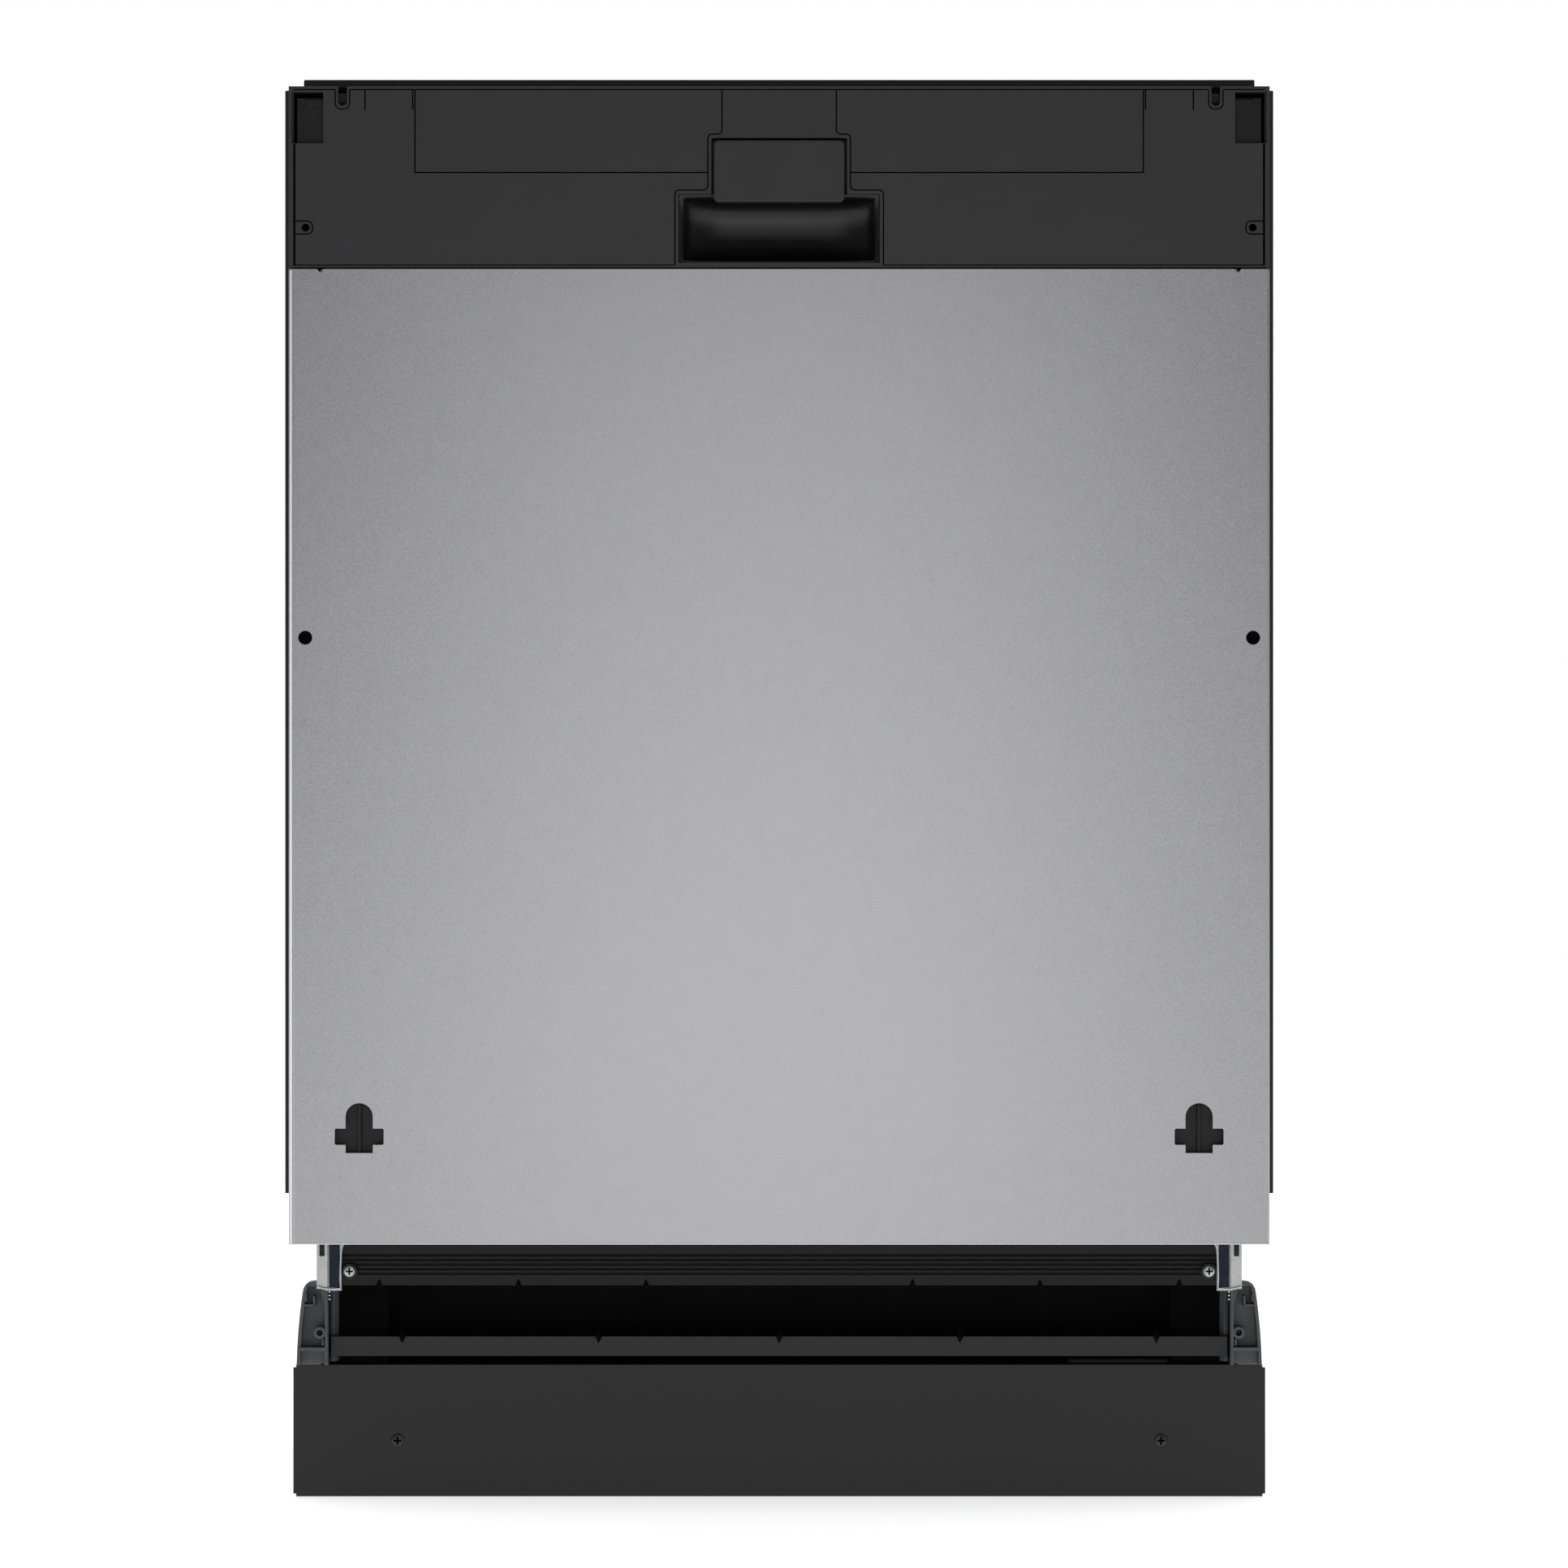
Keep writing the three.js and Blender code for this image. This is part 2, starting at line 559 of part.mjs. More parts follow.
// A basket of square wires: a floor grid, with a ring of slimmer uprights and rails around it.
// The wires that run across lie a little higher than those that run front to back.
function wireRack({ low, high }, bays) {
  const x = [-RACK_HALF, RACK_HALF];
  const y = [RACK_FRONT, RACK_REAR];
  const slim = 0.5;
  const lift = 1;
  const upright = (atX, atY) => slab(
    atX + slim, atX + WIRE - slim, atY + slim, atY + WIRE - slim, low + 2, high - 2);
  const wires = [];
  for (const at of stations(x, bays.across)) {
    wires.push(slab(at, at + WIRE, ...y, low, low + WIRE));
    for (const end of [y[0], y[1] - WIRE]) wires.push(upright(at, end));
  }
  for (const at of stations(y, bays.along)) {
    wires.push(slab(x[0] + slim, x[1] - slim, at, at + WIRE, low + lift, low + lift + WIRE));
    for (const end of [x[0], x[1] - WIRE]) wires.push(upright(end, at));
  }
  for (const at of stations([low, high], bays.up).slice(1)) {
    for (const end of [y[0], y[1] - WIRE]) {
      wires.push(slab(x[0] + slim, x[1] - slim, end, end + WIRE, at - lift, at - lift + WIRE));
    }
    for (const end of [x[0], x[1] - WIRE]) wires.push(slab(end, end + WIRE, ...y, at, at + WIRE));
  }
  return join(...wires);
}

function cutleryTray() {
  const floor = TRAY.low + 2.5;
  const half = RACK_HALF;
  return cut(
    wide(half, RACK_FRONT, RACK_REAR - 8, TRAY.low, TRAY.high),
    slab(-half + 3, -82, RACK_FRONT + 3, RACK_REAR - 11, floor, TRAY.high + 1),
    slab(-79, 79, RACK_FRONT + 3, RACK_REAR - 11, floor, TRAY.high + 1),
    slab(82, half - 3, RACK_FRONT + 3, RACK_REAR - 11, floor, TRAY.high + 1));
}

function silverwareBasket() {
  const x = [132, 236];
  const y = [-158, 82];
  const wall = 2.5;
  const cells = [];
  for (let row = 0; row < 3; row += 1) {
    for (let column = 0; column < 2; column += 1) {
      const cellX = x[0] + wall + column * 50.75;
      const cellY = y[0] + wall + row * 79.17;
      cells.push(slab(cellX, cellX + 48.25, cellY, cellY + 76.67, 239, 350));
    }
  }
  return cut(slab(...x, ...y, LOWER_RACK.low + WIRE + 1 + GAP, 344), ...cells);
}

function rackWheel() {
  return join(
    bar('x', -4, 4, [0, 0], WHEEL_RADIUS, 20),
    bar('x', -7, -3, [0, 0], 6, 12));
}

// A flat two-armed spray arm that is widest at its hub.
function sprayArm(radius, hubRadius, hubLow, hubHigh, armLow, armHigh) {
  const blade = polygon([
    [-radius, -13], [-radius + 8, -20], [-40, -26], [40, -26], [radius - 8, -20], [radius, -13],
    [radius, 13], [radius - 8, 20], [40, 26], [-40, 26], [-radius + 8, 20], [-radius, 13]]);
  return join(
    extruded(blade, 'z', armLow, armHigh),
    bar('z', hubLow, hubHigh, [0, 0], hubRadius, 16));
}

// ---------------------------------------------------------------- water system

function sump() {
  return cut(
    bar('z', 98, FLOOR_UNDER - GAP, [FILTER.x, FILTER.y], FILTER.radius + 21, 24),
    bar('z', 102, FLOOR_UNDER, [FILTER.x, FILTER.y], FILTER.radius + 17.5, 24));
}

function filterCylinder() {
  const centre = [FILTER.x, FILTER.y];
  return cut(
    join(
      bar('z', 108, 176, centre, FILTER.radius - 4, 20),
      bar('z', 170, 176, centre, FILTER.radius, 20)),
    bar('z', 114, 190, centre, FILTER.radius - 8, 20));
}

function finePlate() {
  return cut(
    slab(-100, 140, -110, 100, FLOOR_BASIN + GAP, FLOOR_BASIN + 1.5),
    bar('z', 160, 175, [FILTER.x, FILTER.y], FILTER.radius - 3, 20),
    bar('z', 160, 175, [0, ARM_CENTRE_Y], 11, 12));
}

function circulationPump() {
  return join(
    bar('y', 75, 175, [-70, 100], 42, 20),
    bar('y', 60, 80, [-70, 100], 54, 20),
    bar('z', 96, 157, [-70, 68], 14, 12));
}

function drainPump() {
  return join(
    bar('x', 125, 145, [-20, 112], 30, 16),
    bar('x', 140, 205, [-20, 112], 22, 16));
}

function feedTube() {
  return join(
    slab(-14, 14, 243, 260, FLOOR_LEDGE + GAP, 834),
    slab(-14, 14, ARM_CENTRE_Y - 20, 250, 824, 834));
}

function inletValve() {
  return join(
    slab(-190, -150, 218, REAR - 4, 58, 104),
    bar('y', REAR - 6, REAR, [-170, 80], 12));
}

// ---------------------------------------------------------------- the assembly

place(cabinet, 'base_tray', baseTray(), BASE_BLACK);
place(cabinet, 'kick_plate', kickPlate(), PAINTED_BLACK);
place(cabinet, 'front_beam', frontBeam(), PAINTED_BLACK);
placePair(cabinet, 'corner_leg', cornerLeg(), LEG_GREY);
placePair(cabinet, 'hinge_bracket', hingeBracket(), GALVANISED);
placePair(cabinet, 'door_spring', doorSpring(), SPRING_STEEL);
placePair(cabinet, 'side_trim', sideTrim(), PAINTED_BLACK);
place(cabinet, 'top_trim', topTrim(), PAINTED_BLACK);
place(cabinet, 'tub_wrap', tubWrap(), STAINLESS);
place(cabinet, 'tub_back', slab(-TUB_HALF, TUB_HALF, TUB_REAR + GAP, TUB_REAR + 1.8,
  FLOOR_UNDER, TUB_TOP + 1), STAINLESS);
place(cabinet, 'tub_floor', tubFloor(), STAINLESS);
place(cabinet, 'insulation_mat', insulationMat(), FELT);
place(cabinet, 'door_seal', doorSeal(), SEAL_RUBBER);
place(cabinet, 'latch_striker', slab(-8, 8, -236, TUB_FRONT - GAP, 838.5, 843.5), GALVANISED);
place(cabinet, 'sump', sump(), PUMP_PLASTIC);
place(cabinet, 'fine_filter_plate', finePlate(), STAINLESS);
place(cabinet, 'filter_cylinder', filterCylinder(), ARM_GREY);
place(cabinet, 'circulation_pump', circulationPump(), PUMP_PLASTIC);
place(cabinet, 'drain_pump', drainPump(), PUMP_PLASTIC);
place(cabinet, 'feed_tube', feedTube(), ARM_GREY);
place(cabinet, 'top_spray_head', bar('z', 811, 824 - GAP, [0, ARM_CENTRE_Y], 32, 20), ARM_GREY);
place(cabinet, 'water_inlet_chamber', slab(-293.5, -280.4, -110, 190, 250, 690), MOULDED_WHITE);
place(cabinet, 'inlet_valve', inletValve(), MOULDED_WHITE);
place(cabinet, 'terminal_box', slab(178, 240, -172, BASE_FRONT - GAP, 40, 84), PUMP_PLASTIC);
placePair(cabinet, 'rack_rail', slab(255.5, TUB_HALF - GAP, -195, 240, 602, 618), STAINLESS);
place(cabinet, 'foot_front_left', foot(), BASE_BLACK, [-FOOT.x, FOOT.y, 0]);
place(cabinet, 'foot_front_right', foot(), BASE_BLACK, [FOOT.x, FOOT.y, 0]);
place(cabinet, 'foot_rear', foot(), BASE_BLACK, [0, FOOT.rearY, 0]);
place(cabinet, 'rear_foot_rod', bar('y', KICK_FACE + 14, FOOT.rearY - 19, [0, 26], 4, 6), GALVANISED);
place(cabinet, 'lower_spray_arm', sprayArm(214, 16, 171, 204, 202, 214), ARM_GREY,
  [0, ARM_CENTRE_Y, 0]);

place(door, 'door_outer_panel', outerPanel(), STAINLESS);
place(door, 'door_inner_liner', innerLiner(), STAINLESS);
place(door, 'control_console', controlConsole(), CONSOLE_BLACK);
place(door, 'grip_flap', gripFlap(), CONSOLE_BLACK);
place(door, 'control_strip', controlStrip(), GLOSS_BLACK);
for (const { name, x } of BUTTONS) {
  const size = [BUTTON.long, BUTTON.deep, BUTTON.high - BUTTON.low];
  place(door, name, new THREE.BoxGeometry(...size), CONSOLE_BLACK,
    [x, BUTTON.y, (BUTTON.low + BUTTON.high) / 2]);
}
placePair(door, 'hinge_arm', hingeArm(), GALVANISED);
place(door, 'door_latch', doorLatch(), PUMP_PLASTIC);
place(door, 'dispenser_body', dispenserBody(), ARM_GREY);
place(door, 'dispenser_lid', slab(-103, -17, LINER_REAR + 3.1, LINER_REAR + 6.1, 443, 532), ARM_GREY);
place(door, 'rinse_aid_cap', bar('y', LINER_REAR + 3.1, LINER_REAR + 9, [25, 510], 17, 20), ARM_GREY);

place(racks, 'lower_rack', wireRack(LOWER_RACK, { across: 5, along: 4, up: 2 }), RACK_GREY);
place(racks, 'silverware_basket', silverwareBasket(), BASKET_GREY);
for (const [end, y] of [['front', -40], ['rear', 190]]) {
  const z = FLOOR_LEDGE + GAP + WHEEL_RADIUS;
  place(racks, `rack_wheel_${end}_right`, rackWheel(), ARM_GREY, [259, y, z]);
  place(racks, `rack_wheel_${end}_left`, mirrored(rackWheel()), ARM_GREY, [-259, y, z]);
}
place(racks, 'upper_rack', wireRack(UPPER_RACK, { across: 5, along: 4, up: 2 }), RACK_GREY);
place(racks, 'upper_spray_arm', sprayArm(200, 14, 535, UPPER_RACK.low - 2, 535, 546), ARM_GREY,
  [0, ARM_CENTRE_Y, 0]);
place(racks, 'cutlery_tray', cutleryTray(), BASKET_GREY);

export default dishwasher;
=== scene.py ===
"""The looks of a panel-ready built-in dishwasher, as a Blender add-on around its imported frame."""

import math

import bmesh
import bpy
from mathutils import Matrix, Vector


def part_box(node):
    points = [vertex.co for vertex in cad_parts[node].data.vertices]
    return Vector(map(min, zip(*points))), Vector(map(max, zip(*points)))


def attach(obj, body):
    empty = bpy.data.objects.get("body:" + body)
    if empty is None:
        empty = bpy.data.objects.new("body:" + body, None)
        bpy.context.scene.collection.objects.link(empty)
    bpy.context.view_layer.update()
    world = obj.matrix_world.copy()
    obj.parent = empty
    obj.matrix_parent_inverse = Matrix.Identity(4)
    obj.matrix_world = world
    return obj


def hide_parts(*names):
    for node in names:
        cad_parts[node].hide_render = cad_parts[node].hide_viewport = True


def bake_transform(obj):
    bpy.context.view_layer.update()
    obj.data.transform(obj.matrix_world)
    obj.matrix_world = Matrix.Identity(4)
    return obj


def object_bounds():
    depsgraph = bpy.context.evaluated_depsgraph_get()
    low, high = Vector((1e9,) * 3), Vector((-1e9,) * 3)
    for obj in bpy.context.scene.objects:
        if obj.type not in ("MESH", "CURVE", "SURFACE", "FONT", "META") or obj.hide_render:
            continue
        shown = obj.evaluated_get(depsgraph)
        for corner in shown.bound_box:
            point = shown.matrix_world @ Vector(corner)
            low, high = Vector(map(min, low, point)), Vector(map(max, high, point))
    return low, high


bl_info = {
    "name": "Built-in Dishwasher",
    "version": (1, 0, 0),
    "blender": (4, 5, 0),
    "location": "View3D > Sidebar > Dishwasher",
    "description": "Gives the dishwasher's frame its steel, plastics, wire racks and small parts",
    "category": "Object",
}

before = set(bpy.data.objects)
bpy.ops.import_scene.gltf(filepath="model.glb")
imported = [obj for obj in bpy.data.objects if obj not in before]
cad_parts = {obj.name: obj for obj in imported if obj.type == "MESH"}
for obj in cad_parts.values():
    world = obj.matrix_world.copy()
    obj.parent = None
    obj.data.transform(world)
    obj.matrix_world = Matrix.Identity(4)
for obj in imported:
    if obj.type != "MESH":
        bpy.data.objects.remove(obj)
FRAME_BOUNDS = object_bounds()
MM = 0.001


# ---------------------------------------------------------------- settings

class DishwasherLooks(bpy.types.PropertyGroup):
    """Colours and sizes that a user would change."""

    steel: bpy.props.StringProperty(
        name="Steel", description="sRGB colour of the door's steel", default="#A6A6A8")
    console: bpy.props.StringProperty(
        name="Console", description="sRGB colour of the black mouldings", default="#28282A")
    plinth: bpy.props.StringProperty(
        name="Plinth", description="sRGB colour of the painted plinth", default="#1E1E1F")
    wire: bpy.props.StringProperty(
        name="Rack wire", description="sRGB colour of the coated rack wire", default="#9DA0A4")
    wire_radius: bpy.props.FloatProperty(
        name="Wire radius", description="Radius of the racks' thin wires", default=0.0017,
        unit="LENGTH")
    rim_radius: bpy.props.FloatProperty(
        name="Rim radius", description="Radius of the racks' rim wires", default=0.0026,
        unit="LENGTH")
    tine_height: bpy.props.FloatProperty(
        name="Tine height", description="Height of the plate tines over the rack floor",
        default=0.07, unit="LENGTH")
    light: bpy.props.FloatProperty(
        name="Front light", description="Power of the front softbox in watts", default=3.4)


def looks():
    return bpy.context.scene.dishwasher_looks


# ---------------------------------------------------------------- materials

def linear(code):
    """An sRGB hex colour as linear red, green, blue and alpha."""
    channels = [int(code[i:i + 2], 16) / 255 for i in (1, 3, 5)]
    return (*[c / 12.92 if c <= 0.04045 else ((c + 0.055) / 1.055) ** 2.4 for c in channels], 1.0)


def add_node(tree, kind, settings=None, inputs=None):
    """Adds a node, with its settings, and its inputs as values or as sockets to link from."""
    made = tree.nodes.new(kind)
    for name, value in (settings or {}).items():
        setattr(made, name, value)
    for name, value in (inputs or {}).items():
        socket = made.inputs[name]
        if isinstance(value, bpy.types.NodeSocket):
            tree.links.new(value, socket)
        else:
            socket.default_value = value
    return made


def surface(name, colour, roughness, metallic=0.0, patterns=(), sockets=None):
    """A principled material. Each pattern is a noise of a real size in millimetres that shifts
    the colour and roughness and raises the surface: size, stretch, shade, rough and height."""
    found = bpy.data.materials.get(name)
    if found:
        return found
    made = bpy.data.materials.new(name)
    made.use_nodes = True
    tree = made.node_tree
    shader = tree.nodes["Principled BSDF"]
    shader.inputs["Metallic"].default_value = metallic
    for socket, value in (sockets or {}).items():
        shader.inputs[socket].default_value = value
    base = linear(colour)
    coordinates = add_node(tree, "ShaderNodeTexCoord").outputs["Object"]
    shade, rough, normal = None, None, None
    for pattern in patterns:
        kind = pattern.get("kind", "ShaderNodeTexNoise")
        stretch = pattern.get("stretch", (1, 1, 1))
        mapping = add_node(tree, "ShaderNodeMapping", inputs={
            "Vector": coordinates, "Scale": [s / (pattern["size"] * MM) for s in stretch]})
        texture = add_node(tree, kind, inputs={"Vector": mapping.outputs[0], "Scale": 1.0})
        if kind == "ShaderNodeTexNoise":
            texture.inputs["Detail"].default_value = pattern.get("detail", 3.0)
            value = texture.outputs["Fac"]
        else:
            value = texture.outputs["Color"]
            value = add_node(tree, "ShaderNodeRGBToBW", inputs={"Color": value}).outputs[0]
        if pattern.get("shade"):
            depth = pattern["shade"]
            ramp = add_node(tree, "ShaderNodeMapRange", inputs={
                "Value": value, "From Min": 0.3, "From Max": 0.7,
                "To Min": 1 - depth, "To Max": 1 + depth})
            shade = ramp.outputs[0] if shade is None else add_node(
                tree, "ShaderNodeMath", {"operation": "MULTIPLY"},
                {0: shade, 1: ramp.outputs[0]}).outputs[0]
        if pattern.get("rough"):
            spread = pattern["rough"]
            ramp = add_node(tree, "ShaderNodeMapRange", inputs={
                "Value": value, "From Min": 0.3, "From Max": 0.7,
                "To Min": roughness - spread, "To Max": roughness + spread})
            rough = ramp.outputs[0]
        if pattern.get("height"):
            bump = add_node(tree, "ShaderNodeBump", inputs={
                "Height": value, "Distance": pattern["height"] * MM,
                "Strength": pattern.get("strength", 0.6)})
            if normal is not None:
                tree.links.new(normal, bump.inputs["Normal"])
            normal = bump.outputs[0]
    if shade is None:
        shader.inputs["Base Color"].default_value = base
    else:
        colour_node = add_node(tree, "ShaderNodeVectorMath", {"operation": "SCALE"},
                               {0: base[:3], "Scale": shade})
        tree.links.new(colour_node.outputs[0], shader.inputs["Base Color"])
    if rough is None:
        shader.inputs["Roughness"].default_value = roughness
    else:
        tree.links.new(rough, shader.inputs["Roughness"])
    if normal is not None:
        tree.links.new(normal, shader.inputs["Normal"])
    return made


def grained_stainless():
    # Stainless sheet with a fine rolled grain: a soft glow with a speckle, a little finer upright.
    return surface("grained_stainless_sheet", looks().steel, 0.34, 1.0, (
        {"size": 1.3, "stretch": (1.0, 1.0, 1.5), "shade": 0.13, "rough": 0.05, "detail": 4.0},
        {"size": 9.0, "shade": 0.012, "detail": 2.0},
        {"size": 1.1, "height": 0.02, "strength": 0.12}))


def hem_highlight_stainless():
    # Painted highlight: the sheet's fold, painted brighter than its grained face for the light it
    # catches.
    return surface("painted_highlight_stainless_fold", "#C8C8CA", 0.3, 1.0, (
        {"size": 1.0, "stretch": (1, 1, 5), "rough": 0.06, "shade": 0.03},))


def bright_stainless():
    # Bright annealed tub steel: clean reflections over very slight waves from pressing.
    return surface("bright_annealed_stainless", "#C9CACC", 0.24, 1.0, (
        {"size": 1.2, "stretch": (1, 1, 6), "rough": 0.05},
        {"size": 60, "height": 0.35, "strength": 0.25, "detail": 1.0}))


def galvanised_steel():
    # Hot-dip galvanised sheet: grey with pale crystals of a few millimetres.
    return surface("galvanised_steel", "#B9BBBB", 0.42, 1.0, (
        {"kind": "ShaderNodeTexVoronoi", "size": 3.5, "shade": 0.12, "rough": 0.08},
        {"size": 0.8, "height": 0.02, "strength": 0.3}))


def blue_black_steel():
    # Phosphated spring plate: nearly black with a cold blue sheen and pale rub marks.
    return surface("phosphated_steel", "#1B2430", 0.45, 0.7, (
        {"size": 2.2, "shade": 0.5, "rough": 0.1, "detail": 5.0},))


def textured_abs():
    # Moulded ABS with a spark-eroded skin: a dull black that lifts softly in the light.
    return surface("textured_black_abs", looks().console, 0.52, 0.0, (
        {"size": 0.7, "height": 0.03, "strength": 0.35, "rough": 0.05},
        {"size": 40, "shade": 0.03, "detail": 1.0}), {"Specular IOR Level": 0.42})


def shadow_abs():
    # Painted shade: the same moulding inside the finger pocket and behind windows, smoother and
    # painted darker for the shade in these recesses.
    return surface("painted_shade_black_abs", "#101011", 0.45, 0.0, (
        {"size": 1.0, "height": 0.02, "strength": 0.2},
        {"size": 25, "shade": 0.05, "detail": 1.0}), {"Specular IOR Level": 0.35})


def gloss_acrylic():
    # Polished black acrylic over the display: deep and wet looking.
    return surface("polished_black_acrylic", "#0A0A0C", 0.08, 0.0, (
        {"size": 30, "rough": 0.02, "detail": 1.0},), {"Coat Weight": 0.6, "Coat Roughness": 0.04})


def powder_coat():
    # Powder-coated steel: even black with a fine orange peel.
    return surface("black_powder_coat", looks().plinth, 0.5, 0.0, (
        {"size": 1.4, "height": 0.03, "strength": 0.3, "rough": 0.04},
        {"size": 80, "shade": 0.025, "detail": 1.0}), {"Specular IOR Level": 0.4})


def dark_powder_coat():
    # Painted shade: the same coat on the beam, painted darker for the shade under the door.
    return surface("painted_shade_powder_coat", "#0E0E0F", 0.55, 0.0, (
        {"size": 1.4, "height": 0.03, "strength": 0.3, "rough": 0.04},
        {"size": 80, "shade": 0.04, "detail": 1.0}), {"Specular IOR Level": 0.3})


def glass_filled_polypropylene():
    # Glass-filled polypropylene: cool grey with faint flow streaks and a slight fuzz of fibres.
    return surface("glass_filled_polypropylene", "#484C50", 0.48, 0.0, (
        {"size": 5.0, "stretch": (1, 1, 0.35), "shade": 0.16, "rough": 0.07, "detail": 5.0},
        {"size": 0.8, "height": 0.04, "strength": 0.4}))


def base_polypropylene():
    # Black recycled polypropylene of the base tray: flat, with cloudy marks from moulding.
    return surface("black_polypropylene", "#060606", 0.75, 0.0, (
        {"size": 30, "shade": 0.12, "rough": 0.06},
        {"size": 1.0, "height": 0.04, "strength": 0.3}), {"Specular IOR Level": 0.12})


def void_polypropylene():
    # Painted shade: a darker, duller copy of the black polypropylene for the unlit walls of the
    # base compartment, and for the dark walls, plates and cut linings set where only shade shows.
    return surface("painted_shade_black_polypropylene", "#040404", 0.85, 0.0, (
        {"size": 20, "shade": 0.15},), {"Specular IOR Level": 0.08})


def nylon_coat():
    # Nylon powder fused over steel wire: a satin grey skin, thick enough to round every weld.
    return surface("nylon_coated_wire", looks().wire, 0.36, 0.0, (
        {"size": 1.5, "height": 0.04, "strength": 0.25, "rough": 0.05},
        {"size": 15, "shade": 0.03}), {"Coat Weight": 0.15, "Coat Roughness": 0.3})


def grey_polypropylene():
    # Talc-filled polypropylene of arms, wheels and dispenser: satin mid grey.
    return surface("talc_filled_polypropylene", "#6C7074", 0.42, 0.0, (
        {"size": 12, "shade": 0.03, "rough": 0.05},
        {"size": 0.9, "height": 0.03, "strength": 0.25}))


def pale_polypropylene():
    # Natural polypropylene: milky, with light passing a little way in.
    return surface("natural_polypropylene", "#D8DAD6", 0.4, 0.0, (
        {"size": 20, "shade": 0.03, "rough": 0.05},
        {"size": 1.2, "height": 0.03, "strength": 0.2}),
        {"Subsurface Weight": 0.15, "Subsurface Scale": 0.004})


def pump_polyamide():
    # Glass-filled polyamide of the pumps and sump: dark with short pale fibres.
    return surface("glass_filled_polyamide", "#2E3036", 0.5, 0.0, (
        {"size": 2.0, "stretch": (1, 1, 3), "shade": 0.15, "rough": 0.06},
        {"size": 0.7, "height": 0.03, "strength": 0.3}))


def seal_rubber():
    # Extruded EPDM: a dull black with a dry bloom.
    return surface("extruded_epdm_rubber", "#1B1B1C", 0.78, 0.0, (
        {"size": 6, "stretch": (1, 1, 0.3), "shade": 0.1, "rough": 0.06},
        {"size": 0.6, "height": 0.03, "strength": 0.3}))


def needled_felt():
    # Needled cotton felt with stray pale fibres, stuck over the tub to deaden it.
    return surface("needled_cotton_felt", "#56565A", 0.95, 0.0, (
        {"size": 3.0, "stretch": (1, 1, 2.5), "shade": 0.28, "detail": 8.0},
        {"size": 18, "shade": 0.08},
        {"size": 1.6, "height": 0.5, "strength": 0.8, "detail": 6.0}),
        {"Sheen Weight": 0.3, "Sheen Roughness": 0.6})


def zinc_plate():
    # Bright zinc plate on screws and spring wire: pale and crisp, with fine drawing marks.
    return surface("bright_zinc_plate", "#D6D8D8", 0.22, 1.0, (
        {"size": 0.8, "stretch": (1, 1, 4), "rough": 0.06, "shade": 0.05},))


def blackened_zinc():
    # Black passivated zinc on the plinth's screws.
    return surface("black_passivated_zinc", "#3A3A3B", 0.38, 0.5, (
        {"size": 0.8, "rough": 0.06, "shade": 0.15},))


def floor_paint():
    # A seamless matt paper floor.
    return surface("matt_paper", "#F7F7F7", 0.9, 0.0, ({"size": 400, "shade": 0.004},),
                   {"Emission Color": (1.0, 1.0, 1.0, 1.0), "Emission Strength": 0.68})


# ---------------------------------------------------------------- mesh helpers

def piece(name, mesh, material, body):
    """Adds a finished mesh as a piece that rides on a body of the frame."""
    made = bpy.data.objects.new(name, mesh)
    bpy.context.scene.collection.objects.link(made)
    mesh.materials.clear()
    mesh.materials.append(material)
    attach(made, body)
    return made


def mesh_of(shape, name, smooth=False):
    """Turns a bmesh in millimetres into a mesh in metres."""
    bmesh.ops.recalc_face_normals(shape, faces=shape.faces)
    shape.transform(Matrix.Scale(MM, 4))
    mesh = bpy.data.meshes.new(name)
    shape.to_mesh(mesh)
    shape.free()
    mesh.polygons.foreach_set("use_smooth", [smooth] * len(mesh.polygons))
    return mesh


def add_block(shape, low, high):
    """A box from its low and high corners, in millimetres."""
    size = [h - l for l, h in zip(low, high)]
    centre = [(l + h) / 2 for l, h in zip(low, high)]
    matrix = Matrix.Translation(centre) @ Matrix.Diagonal((*size, 1))
    bmesh.ops.create_cube(shape, size=1.0, matrix=matrix)


def add_pair(shape, across, deep, up):
    """A box and its mirror image, from its spans across, in depth and in height."""
    for side in (-1, 1):
        near, far = sorted(side * x for x in across)
        add_block(shape, (near, deep[0], up[0]), (far, deep[1], up[1]))


def add_wide(shape, half, y, z):
    add_block(shape, (-half, y[0], z[0]), (half, y[1], z[1]))


def add_turned(shape, profile, centre, axis="Y", sides=32):
    """A closed profile of (radius, station) points turned about an axis through a centre."""
    turn = {"X": Matrix.Rotation(math.pi / 2, 4, "Y"),
            "Y": Matrix.Rotation(-math.pi / 2, 4, "X"),
            "Z": Matrix.Identity(4)}[axis]
    place = Matrix.Translation(centre) @ turn
    rings = []
    for radius, station in profile:
        if radius < 1e-6:
            rings.append([shape.verts.new(place @ Vector((0, 0, station)))])
            continue
        angles = [2 * math.pi * i / sides for i in range(sides)]
        rings.append([shape.verts.new(place @ Vector(
            (radius * math.cos(a), radius * math.sin(a), station))) for a in angles])
    for ring, following in zip(rings, rings[1:]):
        for i in range(sides):
            j = (i + 1) % sides
            if len(ring) == 1:
                shape.faces.new((ring[0], following[i], following[j]))
            elif len(following) == 1:
                shape.faces.new((ring[i], following[0], ring[j]))
            else:
                shape.faces.new((ring[i], following[i], following[j], ring[j]))


